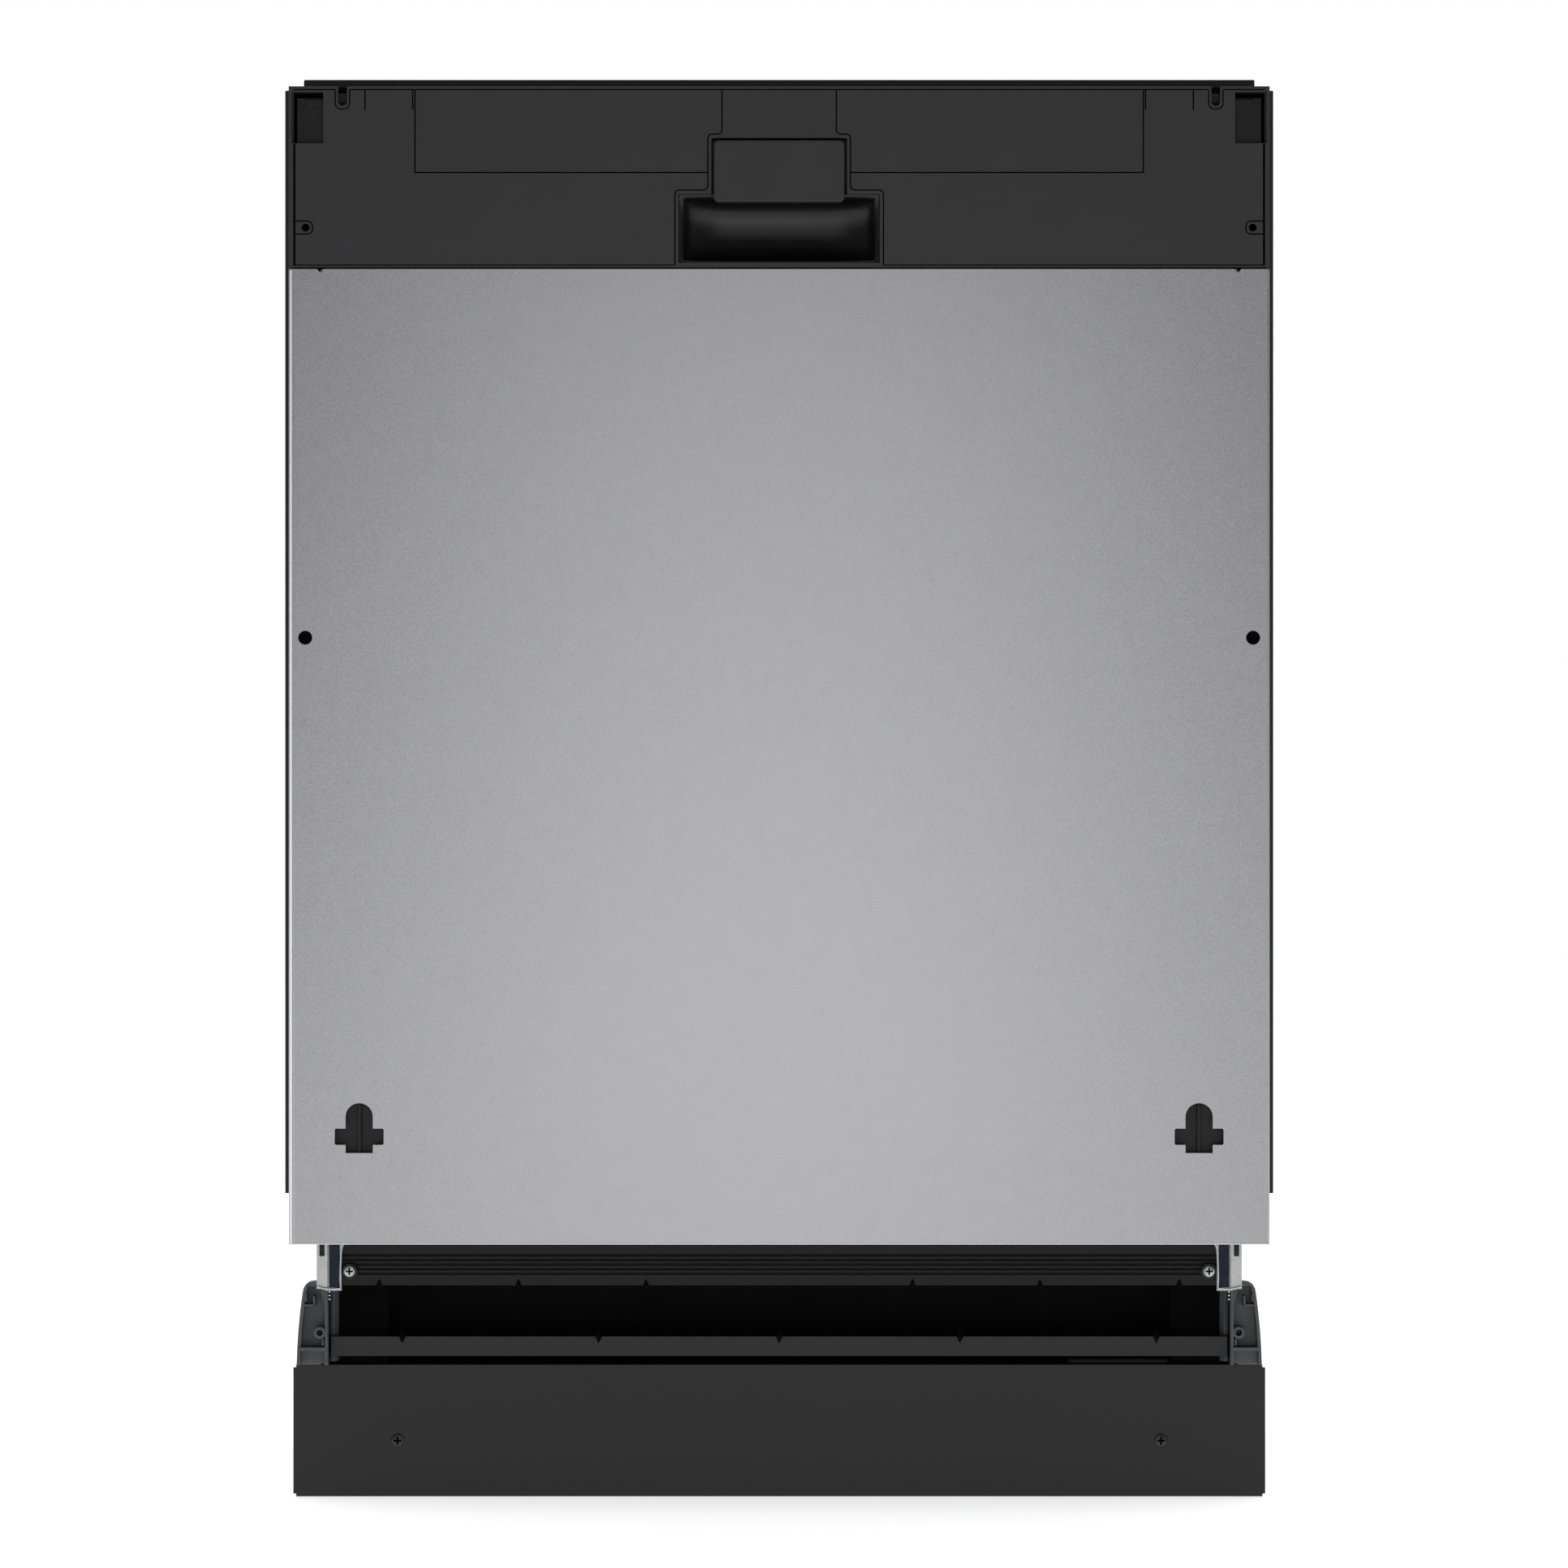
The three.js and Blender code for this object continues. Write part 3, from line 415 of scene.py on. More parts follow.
def add_wire(shape, points, radius, sides=8, closed=False):
    """A round wire along a line of points, its ends capped unless it closes on itself."""
    points = [Vector(p) for p in points]
    count = len(points)
    rings = []
    normal = None
    for i, point in enumerate(points):
        before = points[i - 1] if i or closed else points[i]
        after = points[(i + 1) % count] if i < count - 1 or closed else points[i]
        along = (after - before).normalized()
        if normal is None:
            normal = along.orthogonal().normalized()
        normal = (normal - along * normal.dot(along)).normalized()
        side = along.cross(normal)
        rings.append([shape.verts.new(point + radius * (
            math.cos(2 * math.pi * k / sides) * normal
            + math.sin(2 * math.pi * k / sides) * side)) for k in range(sides)])
    spans = list(zip(rings, rings[1:])) + ([(rings[-1], rings[0])] if closed else [])
    for ring, following in spans:
        for k in range(sides):
            m = (k + 1) % sides
            shape.faces.new((ring[k], following[k], following[m], ring[m]))
    if not closed:
        shape.faces.new(rings[0])
        shape.faces.new(list(reversed(rings[-1])))


def rounded(points, radius, steps=4, closed=False):
    """The same line with each corner turned into an arc of short steps."""
    points = [Vector(p) for p in points]
    count = len(points)
    made = []
    for i, point in enumerate(points):
        if not closed and i in (0, count - 1):
            made.append(point)
            continue
        before, after = points[i - 1], points[(i + 1) % count]
        reach = min(radius, (before - point).length * 0.45, (after - point).length * 0.45)
        start = point + (before - point).normalized() * reach
        end = point + (after - point).normalized() * reach
        for k in range(steps + 1):
            t = k / steps
            made.append(start * (1 - t) ** 2 + point * 2 * t * (1 - t) + end * t ** 2)
    return made


def add_extruded(shape, outline, y0, y1):
    """A solid from a loop of points in a plane across Y, drawn from one Y to another."""
    front = [shape.verts.new((p.x, y0, p.z)) for p in outline]
    back = [shape.verts.new((p.x, y1, p.z)) for p in outline]
    shape.faces.new(front)
    shape.faces.new(list(reversed(back)))
    count = len(outline)
    for i in range(count):
        j = (i + 1) % count
        shape.faces.new((front[i], back[i], back[j], front[j]))


def soften(made, width, segments=2, angle=30):
    """Small rounded edges with clean shading."""
    made.data.polygons.foreach_set("use_smooth", [True] * len(made.data.polygons))
    weld = made.modifiers.new("weld", "WELD")
    weld.merge_threshold = 1e-6
    flat = made.modifiers.new("planar", "DECIMATE")
    flat.decimate_type = "DISSOLVE"
    flat.angle_limit = math.radians(0.5)
    bevel = made.modifiers.new("edges", "BEVEL")
    bevel.width = width
    bevel.segments = segments
    bevel.limit_method = "ANGLE"
    bevel.angle_limit = math.radians(angle)
    bevel.harden_normals = True
    bevel.use_clamp_overlap = True
    normals = made.modifiers.new("normals", "WEIGHTED_NORMAL")
    normals.keep_sharp = True
    return made


def fitted(name, shape, material, body, edge, segments=2, angle=30):
    """Adds a bmesh as a piece whose edges are rounded by so many millimetres."""
    made = piece(name, mesh_of(shape, name), material, body)
    return soften(made, edge * MM, segments, angle)


def rolled(name, shape, material, body):
    """Adds a bmesh of wires or curved skins as a smooth piece."""
    return piece(name, mesh_of(shape, name, True), material, body)


def box_mm(node):
    """A frame node's box in millimetres."""
    low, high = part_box(node)
    return low / MM, high / MM


class Builder:
    """What every operator of this add-on shares."""

    bl_options = {"REGISTER"}


# ---------------------------------------------------------------- frame nodes that keep their shape

# Each finish, the radius of its edges in millimetres, and the frame nodes that have both.
NODE_FINISHES = (
    (bright_stainless, 1.2, ("door_inner_liner", "rack_rail_left", "rack_rail_right")),
    (bright_stainless, 0.6, ("tub_wrap",)),
    (bright_stainless, 0.4, ("tub_back",)),
    (bright_stainless, 3, ("tub_floor",)),
    (bright_stainless, 0.2, ("fine_filter_plate",)),
    (galvanised_steel, 0.4, ("hinge_bracket_left", "hinge_bracket_right")),
    (galvanised_steel, 0.3, ("hinge_arm_left", "hinge_arm_right")),
    (galvanised_steel, 1, ("latch_striker",)),
    (zinc_plate, 0.4, ("rear_foot_rod",)),
    (textured_abs, 0.8, ("grip_flap",)),
    (textured_abs, 0.6, ("power_button", "programme_button_1", "programme_button_2",
        "programme_button_3", "start_button")),
    (gloss_acrylic, 0.4, ("control_strip",)),
    (powder_coat, 0.5, ("kick_plate", "side_trim_left", "side_trim_right")),
    (powder_coat, 0.8, ("top_trim",)),
    # the beam's coat is painted darker, as painted shade under the door
    (dark_powder_coat, 0.2, ("front_beam",)),
    (glass_filled_polypropylene, 0.5, ("corner_leg_left", "corner_leg_right")),
    (base_polypropylene, 0.8, ("base_tray", "foot_front_left", "foot_front_right", "foot_rear")),
    (grey_polypropylene, 3, ("lower_spray_arm", "upper_spray_arm", "feed_tube")),
    (grey_polypropylene, 2, ("top_spray_head",)),
    (grey_polypropylene, 0.8, ("filter_cylinder", "dispenser_body")),
    (grey_polypropylene, 1, ("dispenser_lid", "rinse_aid_cap", "rack_wheel_front_left",
        "rack_wheel_front_right", "rack_wheel_rear_left", "rack_wheel_rear_right")),
    (grey_polypropylene, 0.6, ("cutlery_tray",)),
    (seal_rubber, 2, ("door_seal",)),
    (needled_felt, 3, ("insulation_mat",)),
    (pale_polypropylene, 3, ("water_inlet_chamber",)),
    (pale_polypropylene, 1.5, ("inlet_valve",)),
    (pump_polyamide, 1, ("sump",)),
    (pump_polyamide, 2, ("circulation_pump", "drain_pump")),
    (pump_polyamide, 1.5, ("terminal_box",)),
    (pump_polyamide, 0.8, ("door_latch",)),
)


class DISHWASHER_OT_frame_finishes(Builder, bpy.types.Operator):
    """Give every frame node that keeps its shape its material and small rounded edges"""

    bl_idname = "dishwasher.frame_finishes"
    bl_label = "Frame finishes"

    def execute(self, context):
        for material, edge, names in NODE_FINISHES:
            for name in names:
                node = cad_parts[name]
                node.data.materials.clear()
                node.data.materials.append(material())
                soften(node, edge * MM)
        return {"FINISHED"}


# ---------------------------------------------------------------- cutting and seams

def subtract(made, cutter, lining=None):
    """Takes a cutter out of a piece for good. A lining is the material of the cut faces."""
    tool = bpy.data.objects.new("cutter", mesh_of(cutter, "cutter"))
    if lining:
        for user in (made, tool):
            while len(user.data.materials) < 2:
                user.data.materials.append(lining)
        tool.data.polygons.foreach_set("material_index", [1] * len(tool.data.polygons))
    bpy.context.scene.collection.objects.link(tool)
    cut = made.modifiers.new("cut", "BOOLEAN")
    cut.operation = "DIFFERENCE"
    cut.solver = "EXACT"
    cut.use_self = True
    cut.object = tool
    settle(made)
    bpy.data.objects.remove(tool)


def settle(made):
    """Turns a piece's modifiers into its mesh."""
    bpy.context.view_layer.update()
    graph = bpy.context.evaluated_depsgraph_get()
    old = made.data
    result = bpy.data.meshes.new_from_object(made.evaluated_get(graph))
    result.name = made.name
    made.modifiers.clear()
    made.data = result
    bpy.data.meshes.remove(old)


def carved(node, name, cutter, material, body, lining=None):
    """A copy of a frame node with a cutter taken out of it, standing in for the node."""
    made = piece(name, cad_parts[node].data.copy(), material, body)
    weld = made.modifiers.new("weld", "WELD")
    weld.merge_threshold = 1e-6
    subtract(made, cutter, lining)
    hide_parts(node)
    return made


def ribbon(points, width):
    """The outline of a band of one width along a line of points across Y."""
    left, right = [], []
    for i, point in enumerate(points):
        before = (point - points[i - 1]).normalized() if i else None
        after = (points[i + 1] - point).normalized() if i < len(points) - 1 else None
        one, two = before or after, after or before
        side = Vector((-(one.z + two.z), 0, one.x + two.x)).normalized()
        reach = width / 2 / max(0.4, side.dot(Vector((-one.z, 0, one.x))))
        left.append(point + side * reach)
        right.append(point - side * reach)
    return left + list(reversed(right))


def add_seam(shape, corners, face, width=0.8, depth=1.7, radius=0.0):
    """A groove along a line of (x, z) corners in a face across Y, and its mirror image."""
    for side in (-1, 1):
        line = [Vector((side * x, 0, z)) for x, z in corners]
        if radius:
            line = rounded(line, radius, 5)
        add_extruded(shape, ribbon(line, width), face - 1, face + depth)


def add_slot(shape, path, width, face, depth):
    """A slot with round ends along a straight line between two (x, z) points, and its mirror."""
    (x0, z0), (x1, z1) = path
    for side in (-1, 1):
        start, end = Vector((side * x0, 0, z0)), Vector((side * x1, 0, z1))
        along = (end - start).normalized()
        outline = []
        for centre, sign in ((end, 1), (start, -1)):
            for k in range(9):
                angle = math.radians(90 - 22.5 * k)
                outline.append(centre + sign * width / 2 * (
                    math.cos(angle) * along + math.sin(angle) * Vector((-along.z, 0, along.x))))
        add_extruded(shape, outline, face - 1, face + depth)


def cross_screws(name, places, radius, height, material, body, facing=-1):
    """Round screw heads with a cross recess, at (x, y of the seat, z), facing along Y."""
    shape, cutter = bmesh.new(), bmesh.new()
    for x, y, z in places:
        profile = [(0, height), (radius * 0.55, height), (radius * 0.86, height * 0.75),
                   (radius, height * 0.3), (radius, -0.3), (0, -0.3)]
        add_turned(shape, [(r, facing * s) for r, s in profile], (x, y, z), "Y", 28)
        arm = radius * 0.6
        thin = radius * 0.15
        deep, proud = sorted((y + facing * height * 0.25, y + facing * (height + 1)))
        add_block(cutter, (x - arm, deep, z - thin), (x + arm, proud, z + thin))
        add_block(cutter, (x - thin, deep, z - arm), (x + thin, proud, z + arm))
    made = piece(name, mesh_of(shape, name), material, body)
    # painted shade: the cross recess is lined in the near-black shade material
    subtract(made, cutter, void_polypropylene())
    soften(made, 0.15 * MM, 2)
    return made


# ---------------------------------------------------------------- console

class DISHWASHER_OT_console(Builder, bpy.types.Operator):
    """Cut the seams, slots and rims into the console and line its finger pocket"""

    bl_idname = "dishwasher.console"
    bl_label = "Console"

    def execute(self, context):
        low, high = box_mm("control_console")
        face, half, rim = low.y, high.x, high.z - 2.0
        floor = low.z + 1.8
        neck, flap, pocket, panel, tick = 34.2, 42.7, 62.4, 218.1, 248.0
        neck_foot, pocket_top, panel_foot, tick_foot = 826.8, 793.3, 803.8, 841.2
        window_foot = 821.0
        cutter = bmesh.new()
        # the rim round the flap and the pocket, in one line from the top edge down
        add_seam(cutter, [(neck, rim), (neck, neck_foot), (flap, neck_foot), (flap, pocket_top),
                          (pocket, pocket_top), (pocket, floor)], face, 0.75, 1.6, 3.0)
        add_seam(cutter, [(panel, rim), (panel, panel_foot), (flap, panel_foot)], face)
        add_seam(cutter, [(panel + 1.3, rim), (panel + 1.3, tick_foot + 0.2)], face, 0.8, 1.3)
        add_seam(cutter, [(tick, rim), (tick, tick_foot)], face, 0.8, 1.3)
        add_seam(cutter, [(pocket, floor), (half - 3.2, floor)], face, 0.6, 1.2)
        add_seam(cutter, [(half - 3.4, floor), (half - 3.4, window_foot)], face, 1.3, 2.0)
        # the slots that locate the furniture panel's brackets, upright and lying
        slot, inner, outer = 261.5, 257.2, 265.8
        add_seam(cutter, [(0, rim), (inner - 0.2, rim)], face, 0.7, 1.4)
        add_seam(cutter, [(outer + 0.1, rim), (half - 3.0, rim)], face, 0.7, 1.4)
        add_slot(cutter, ((slot, 846.2), (slot, 860)), 5.2, face, 6.0)
        add_seam(cutter, [(inner, rim), (inner, 841.8), (outer, 841.8), (outer, rim)],
                 face, 0.7, 1.5, 4.0)
        lying, lying_low, lying_high = 279.4, 766.9, 774.7
        add_seam(cutter, [(half - 3, lying_low), (lying, lying_low), (lying, lying_high),
                          (half - 3, lying_high)], face, 0.75, 1.5, 3.8)
        # painted shade: the cut faces of the seams and slots are lined in the near-black shade
        # material
        console = carved("control_console", "console_shell", cutter, textured_abs(),
                         "door", void_polypropylene())
        soften(console, 0.22 * MM, 2, 40)

        # the ribs seen through the corner windows, in the darker moulding of painted shade, and
        # dark walls of painted shade behind every opening
        window, outside = 271, 289.4
        backing, blinds = bmesh.new(), bmesh.new()
        add_pair(backing, (window, outside), (-266.5, -264.5), (817, 849.2))
        add_pair(backing, (window, outside - 5.4), (-268.2, -266.0), (843.6, 848.2))
        add_pair(backing, (inner - 0.2, outer + 0.2), (-266.8, -265.2), (838, 852))
        fitted("console_corner_ribs", backing, shadow_abs(), "door", 0.4)
        add_pair(blinds, (inner - 3.2, outside + 3), (-262, -260.5), (815, 852.2))
        add_pair(blinds, (lying - 0.4, lying + 8.6), (-266, -264.5), (765, 777))
        fitted("console_shade_blinds", blinds, void_polypropylene(), "door", 0.3)
        cross_screws("console_slot_screws", [(side * slot, -266.8, 845.4) for side in (-1, 1)],
                     2.2, 1.4, blackened_zinc(), "door")
        self.pocket(face)
        return {"FINISHED"}

    def pocket(self, face):
        """The smooth scooped lining of the finger pocket."""
        half, low, high, depth = 59.9, 749.9, 790.6, 21.0
        across, up = 36, 18
        shape = bmesh.new()
        grid = []
        for i in range(across + 1):
            u = -1 + 2 * i / across
            row = []
            for j in range(up + 1):
                v = -1 + 2 * j / up
                scoop = (1 - abs(u) ** 6) ** 0.5 * (1 - abs(v) ** 2.6) ** 0.45
                row.append(shape.verts.new((
                    u * half, face + 1.2 + depth * scoop, (low + high) / 2 + v * (high - low) / 2)))
            grid.append(row)
        for i in range(across):
            for j in range(up):
                shape.faces.new((grid[i][j], grid[i + 1][j], grid[i + 1][j + 1], grid[i][j + 1]))
        # the lining carries the pocket's painted shade
        made = rolled("finger_pocket_lining", shape, pocket_abs(), "door")
        skin = made.modifiers.new("skin", "SOLIDIFY")
        skin.thickness = 0.5 * MM
        skin.offset = 0


def pocket_abs():
    # Painted shade: the pocket's moulding, polished and painted nearly black for the shade in its
    # recess, with soft lights only where it turns.
    return surface("painted_shade_pocket_abs", "#0C0C0C", 0.33, 0.0, (
        {"size": 30, "shade": 0.08, "rough": 0.03, "detail": 1.0},), {"Specular IOR Level": 0.35})


# ---------------------------------------------------------------- door

class DISHWASHER_OT_door(Builder, bpy.types.Operator):
    """Round the folds of the door's steel skin and fit its fixings"""

    bl_idname = "dishwasher.door"
    bl_label = "Door"

    def execute(self, context):
        low, high = box_mm("door_outer_panel")
        made = piece("door_skin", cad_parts["door_outer_panel"].data.copy(),
                     grained_stainless(), "door")
        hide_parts("door_outer_panel")
        folds = made.vertex_groups.new(name="folds")
        edge = 0.4
        corners = [v.index for v in made.data.vertices
                   if abs(abs(v.co.x) / MM - high.x) < edge and abs(v.co.y / MM - low.y) < edge]
        folds.add(corners, 1.0, "REPLACE")
        weld = made.modifiers.new("weld", "WELD")
        weld.merge_threshold = 1e-6
        flat = made.modifiers.new("planar", "DECIMATE")
        flat.decimate_type = "DISSOLVE"
        flat.angle_limit = math.radians(0.5)
        fold = made.modifiers.new("fold", "BEVEL")
        fold.width = 1.5 * MM
        fold.segments = 4
        fold.limit_method = "VGROUP"
        fold.vertex_group = "folds"
        fold.use_clamp_overlap = False
        settle(made)
        # painted highlight: bright strips along the sheet's hem on both sides, wider on the left,
        # and along its foot, for the light the hem catches
        hem = bmesh.new()
        proud, rear, lean = low.y - 0.3, low.y + 0.6, 0.22
        foot, top = low.z + 0.6, high.z - 0.5
        for left, right in ((low.x + 0.5, low.x + 2.3), (low.x + 2.9, low.x + 3.5),
                            (high.x - 1.2, high.x - 0.5)):
            add_block(hem, (left, proud, foot), (right, rear, top))
        # the folded edge leans in a little, towards the middle of the door
        for vert in hem.verts:
            if vert.co.y < low.y and abs(vert.co.x) > high.x - 0.6:
                vert.co.y -= lean
        add_block(hem, (low.x + 1.2, low.y - 0.25, low.z + 0.1),
                  (high.x - 1.2, rear, low.z + 0.9))
        fitted("door_skin_hem_highlights", hem, hem_highlight_stainless(), "door", 0.2)
        soften(made, 0.35 * MM, 2, 50)

        sockets, shades = bmesh.new(), bmesh.new()
        # painted shade: a dark strip in the joint under the console, and a dark wedge in the nick
        # in the sheet near each of its ends
        add_wide(shades, 292.2, (low.y + 0.9, low.y + 2.0), (high.z + 0.1, high.z + 1.1))
        for side in (-1, 1):
            nick = [Vector((side * x, 0, high.z + z)) for x, z in (
                (277.0, 0.1), (273.8, 0.1), (275.0, -2.4))]
            add_extruded(shades, nick, low.y - 0.05, low.y + 0.6)
        # painted shade: a dark plate behind each hole in the sheet's sides
        hole = 283.7
        add_pair(shades, (hole - 6, hole + 6), (low.y + 3, low.y + 4.5), (519, 532))
        # a cup behind each keyhole, with a rib down its middle, in the darker moulding of painted
        # shade
        key, wall, cup, cup_rear = 251.4, 1.4, 17, low.y + 8.5
        foot, top = 214, 249
        add_pair(sockets, (key - cup, key + cup), (cup_rear - 1.5, cup_rear), (foot, top))
        for edge in (key - cup, key + cup - wall):
            add_pair(sockets, (edge, edge + wall), (low.y + 1.5, cup_rear - 0.5), (foot, top))
        add_pair(sockets, (key - 1, key + 1), (low.y + 3, cup_rear - 1), (foot + 3, top - 3))
        fitted("door_hole_shades", shades, void_polypropylene(), "door", 0.3)
        fitted("door_fixing_sockets", sockets, shadow_abs(), "door", 0.3)
        return {"FINISHED"}


# ---------------------------------------------------------------- plinth

def add_peg(shape, x, y, z, half, height, depth):
    """A small eight-sided peg with two points, as an octahedron."""
    around = [shape.verts.new((x + dx, y + dy, z)) for dx, dy in (
        (half, 0), (0, -depth), (-half, 0), (0, depth))]
    top = shape.verts.new((x, y, z + height / 2))
    bottom = shape.verts.new((x, y, z - height / 2))
    for i in range(4):
        j = (i + 1) % 4
        shape.faces.new((around[i], around[j], top))
        shape.faces.new((around[j], around[i], bottom))


def add_curtain(shape, outline, low, high):
    """A solid from a loop of (x, y) points, drawn from one height to another."""
    below = [shape.verts.new((x, y, low)) for x, y in outline]
    above = [shape.verts.new((x, y, high)) for x, y in outline]
    shape.faces.new(below)
    shape.faces.new(list(reversed(above)))
    for i in range(len(outline)):
        j = (i + 1) % len(outline)
        shape.faces.new((below[i], above[i], above[j], below[j]))


class DISHWASHER_OT_plinth(Builder, bpy.types.Operator):
    """Fit the pegs, screws and hinge covers around the plinth"""

    bl_idname = "dishwasher.plinth"
    bl_label = "Plinth"

    def execute(self, context):
        beam, kick, tray = (box_mm(node)[0] for node in ("front_beam", "kick_plate", "base_tray"))
        lip, lug, boss, screw = 99.2, 0.7, 261.7, 140.9
        pegs = bmesh.new()
        # painted shade: dark diamonds along the beam's foot and the tray's lip stand in for the
        # shaded diamond holes in their folded edges
        for side in (-1, 1):
            for x in (81.2, 158.9, 243.8):
                add_peg(pegs, side * x, beam.y + 0.6, beam.z + 0.6, 2.0, 7.6, 1.6)
        for x in (-231.0, -110.7, 0, 110.7, 231.0):
            add_peg(pegs, x, tray.y - lug, lip, 2.2, 9.0, 1.6)
        piece("diamond_hole_shade_pegs", mesh_of(pegs, "diamond_hole_shade_pegs"), void_polypropylene(),
              "cabinet")
        cross_screws("kick_plate_screws", [(x, kick.y, 34.8) for x in (-234.2, 234.2)],
                     4.1, 1.6, blackened_zinc(), "cabinet")
        bosses, facing, blanks = bmesh.new(), bmesh.new(), bmesh.new()
        # the screw bosses are in the darker moulding of painted shade
        for x in (-boss, boss):
            add_turned(bosses, [(0, 1), (5.2, 1), (5.2, -1.6), (4.4, -2.4), (0, -2.4)],
                       (x, beam.y, screw), "Y", 32)
        fitted("beam_screw_bosses", bosses, shadow_abs(), "cabinet", 0.3)
        cross_screws("beam_screws", [(x, beam.y - 2.4, screw) for x in (-boss, boss)],
                     3.6, 1.8, galvanised_steel(), "cabinet")
        add_wide(facing, 274.6, (tray.y - 0.5, tray.y + 0.5), (lip - 12, lip))
        fitted("plinth_lip", facing, powder_coat(), "cabinet", 0.2)
        # painted shade: dark walls beside each door spring, above and below the tray's shelf
        for span in ((77, 86.7), (89.3, 131)):
            add_pair(blanks, (240, 275.8), (-182, -181), span)
        fitted("plinth_shade_blanks", blanks, void_polypropylene(), "cabinet", 0.2)
        self.hinge_covers()
        self.leg_details()
        return {"FINISHED"}

    def hinge_covers(self):
        """The dark spring plate and the bright turned edge beside each hinge bracket."""
        face, foot, top = -212.4, 131, 160
        dark, bright = bmesh.new(), bmesh.new()
        add_pair(dark, (267.6, 274.2), (face, face + 1), (foot, top))
        add_pair(dark, (277, 280), (face - 0.7, face + 0.4), (top - 10, top - 0.5))
        edge = [(266.9, 130.6), (267.4, 136), (266.9, 152), (266.2, 156.4), (263.4, 159.6)]
        turned_foot = [(267, 130.4), (274.8, 129.6), (281.4, 131.6)]
        for side in (-1, 1):
            for corners, width, proud, rear in ((edge, 1.1, 0.6, 2.4),
                                                (turned_foot, 1.3, 0.8, 2.0)):
                line = rounded([Vector((side * x, 0, z)) for x, z in corners], 3.0, 4)
                add_extruded(bright, ribbon(line, width), face - proud, face + rear)
        fitted("hinge_spring_plates", dark, blue_black_steel(), "cabinet", 0.3)
        fitted("hinge_bracket_edges", bright, galvanised_steel(), "cabinet", 0.3)

    def leg_details(self):
        """The bosses, ribs and clips moulded into the front of each corner leg."""
        face = box_mm("corner_leg_right")[0].y
        shape = bmesh.new()
        boss = [(3.85, 6), (3.85, -1.2), (3.2, -1.6), (2.0, -1.6), (1.8, -1.0), (1.8, 6)]
        gusset = [(275.4, -186), (273.0, -187), (262.0, -166), (258.0, -151), (260.4, -151),
                  (264.5, -164)]
        for side in (-1, 1):
            add_turned(shape, boss, (side * 281.2, face + 0.6, 101.9), "Y", 28)
            add_curtain(shape, [(side * x, y) for x, y in gusset], 83.5, 131.0)
        # shelf, inner wall, clip and its stem, and two short ribs
        for x0, x1, z0, z1, proud in (
                (277.4, 293.6, 90.8, 93.0, 1.4),
                (276.2, 278.0, 83.0, 128.0, 1.2),
                (284.0, 290.6, 118.2, 119.4, 1.0),
                (284.0, 285.2, 118.2, 124.5, 1.0),
                (278.6, 279.8, 94.0, 98.0, 0.9),
                (289.0, 290.0, 121.0, 126.0, 0.8)):
            add_pair(shape, (x0, x1), (face - proud, face + 8), (z0, z1))
        fitted("corner_leg_ribs", shape, glass_filled_polypropylene(), "cabinet", 0.3)


# ---------------------------------------------------------------- racks

def spread(low, high, bays):
    """Even stations from low to high."""
    return [low + (high - low) * i / bays for i in range(bays + 1)]


def rim_loop(half, y0, y1, z, corner):
    """A rounded rectangle of points at one height."""
    corners = [(-half, y0, z), (half, y0, z), (half, y1, z), (-half, y1, z)]
    return rounded(corners, corner, 5, closed=True)


def add_basket(shape, low, high, across, along, levels):
    """The crossed floor wires, turned up at their ends, and the rims of a rack."""
    thin, rim = looks().wire_radius / MM, looks().rim_radius / MM
    half, y0, y1 = high.x - rim, low.y + rim, high.y - rim
    floor, top = low.z + thin, high.z - rim
    for x in spread(-half + 14, half - 14, across):
        line = [(x, y0, top), (x, y0 + 5, floor), (x, y1 - 5, floor), (x, y1, top)]
        add_wire(shape, rounded(line, 16, 4), thin, 6)
    for y in spread(y0 + 14, y1 - 14, along):
        line = [(-half, y, top), (-half + 5, y, floor + 2 * thin),
                (half - 5, y, floor + 2 * thin), (half, y, top)]
        add_wire(shape, rounded(line, 16, 4), thin, 6)
    for share in levels:
        add_wire(shape, rim_loop(half, y0, y1, floor + (top - floor) * share, 22), rim, 8, True)


def add_tines(shape, rows, stations, floor, height, lean):
    """Rows of upright pins for plates, with a foot wire under each row."""
    thin = looks().wire_radius / MM
    for x in rows:
        add_wire(shape, [(x, stations[0] - 12, floor), (x, stations[-1] + 12, floor)], thin, 6)
        for y in stations:
            line = [(x, y, floor), (x, y + lean * 0.2, floor + height * 0.3),
                    (x, y + lean, floor + height)]
            add_wire(shape, line, thin * 0.92, 6)


def add_grip(shape, half, y, z, height):
    """A moulded handle, bowed forwards over a rack's front rim."""
    steps = 14
    for i in range(steps):
        a, b = -1 + 2 * i / steps, -1 + 2 * (i + 1) / steps
        outline = [(a * half, y - 9 * (1 - a ** 4)), (b * half, y - 9 * (1 - b ** 4)),
                   (b * half, y + 3), (a * half, y + 3)]
        add_curtain(shape, outline, z - height, z)


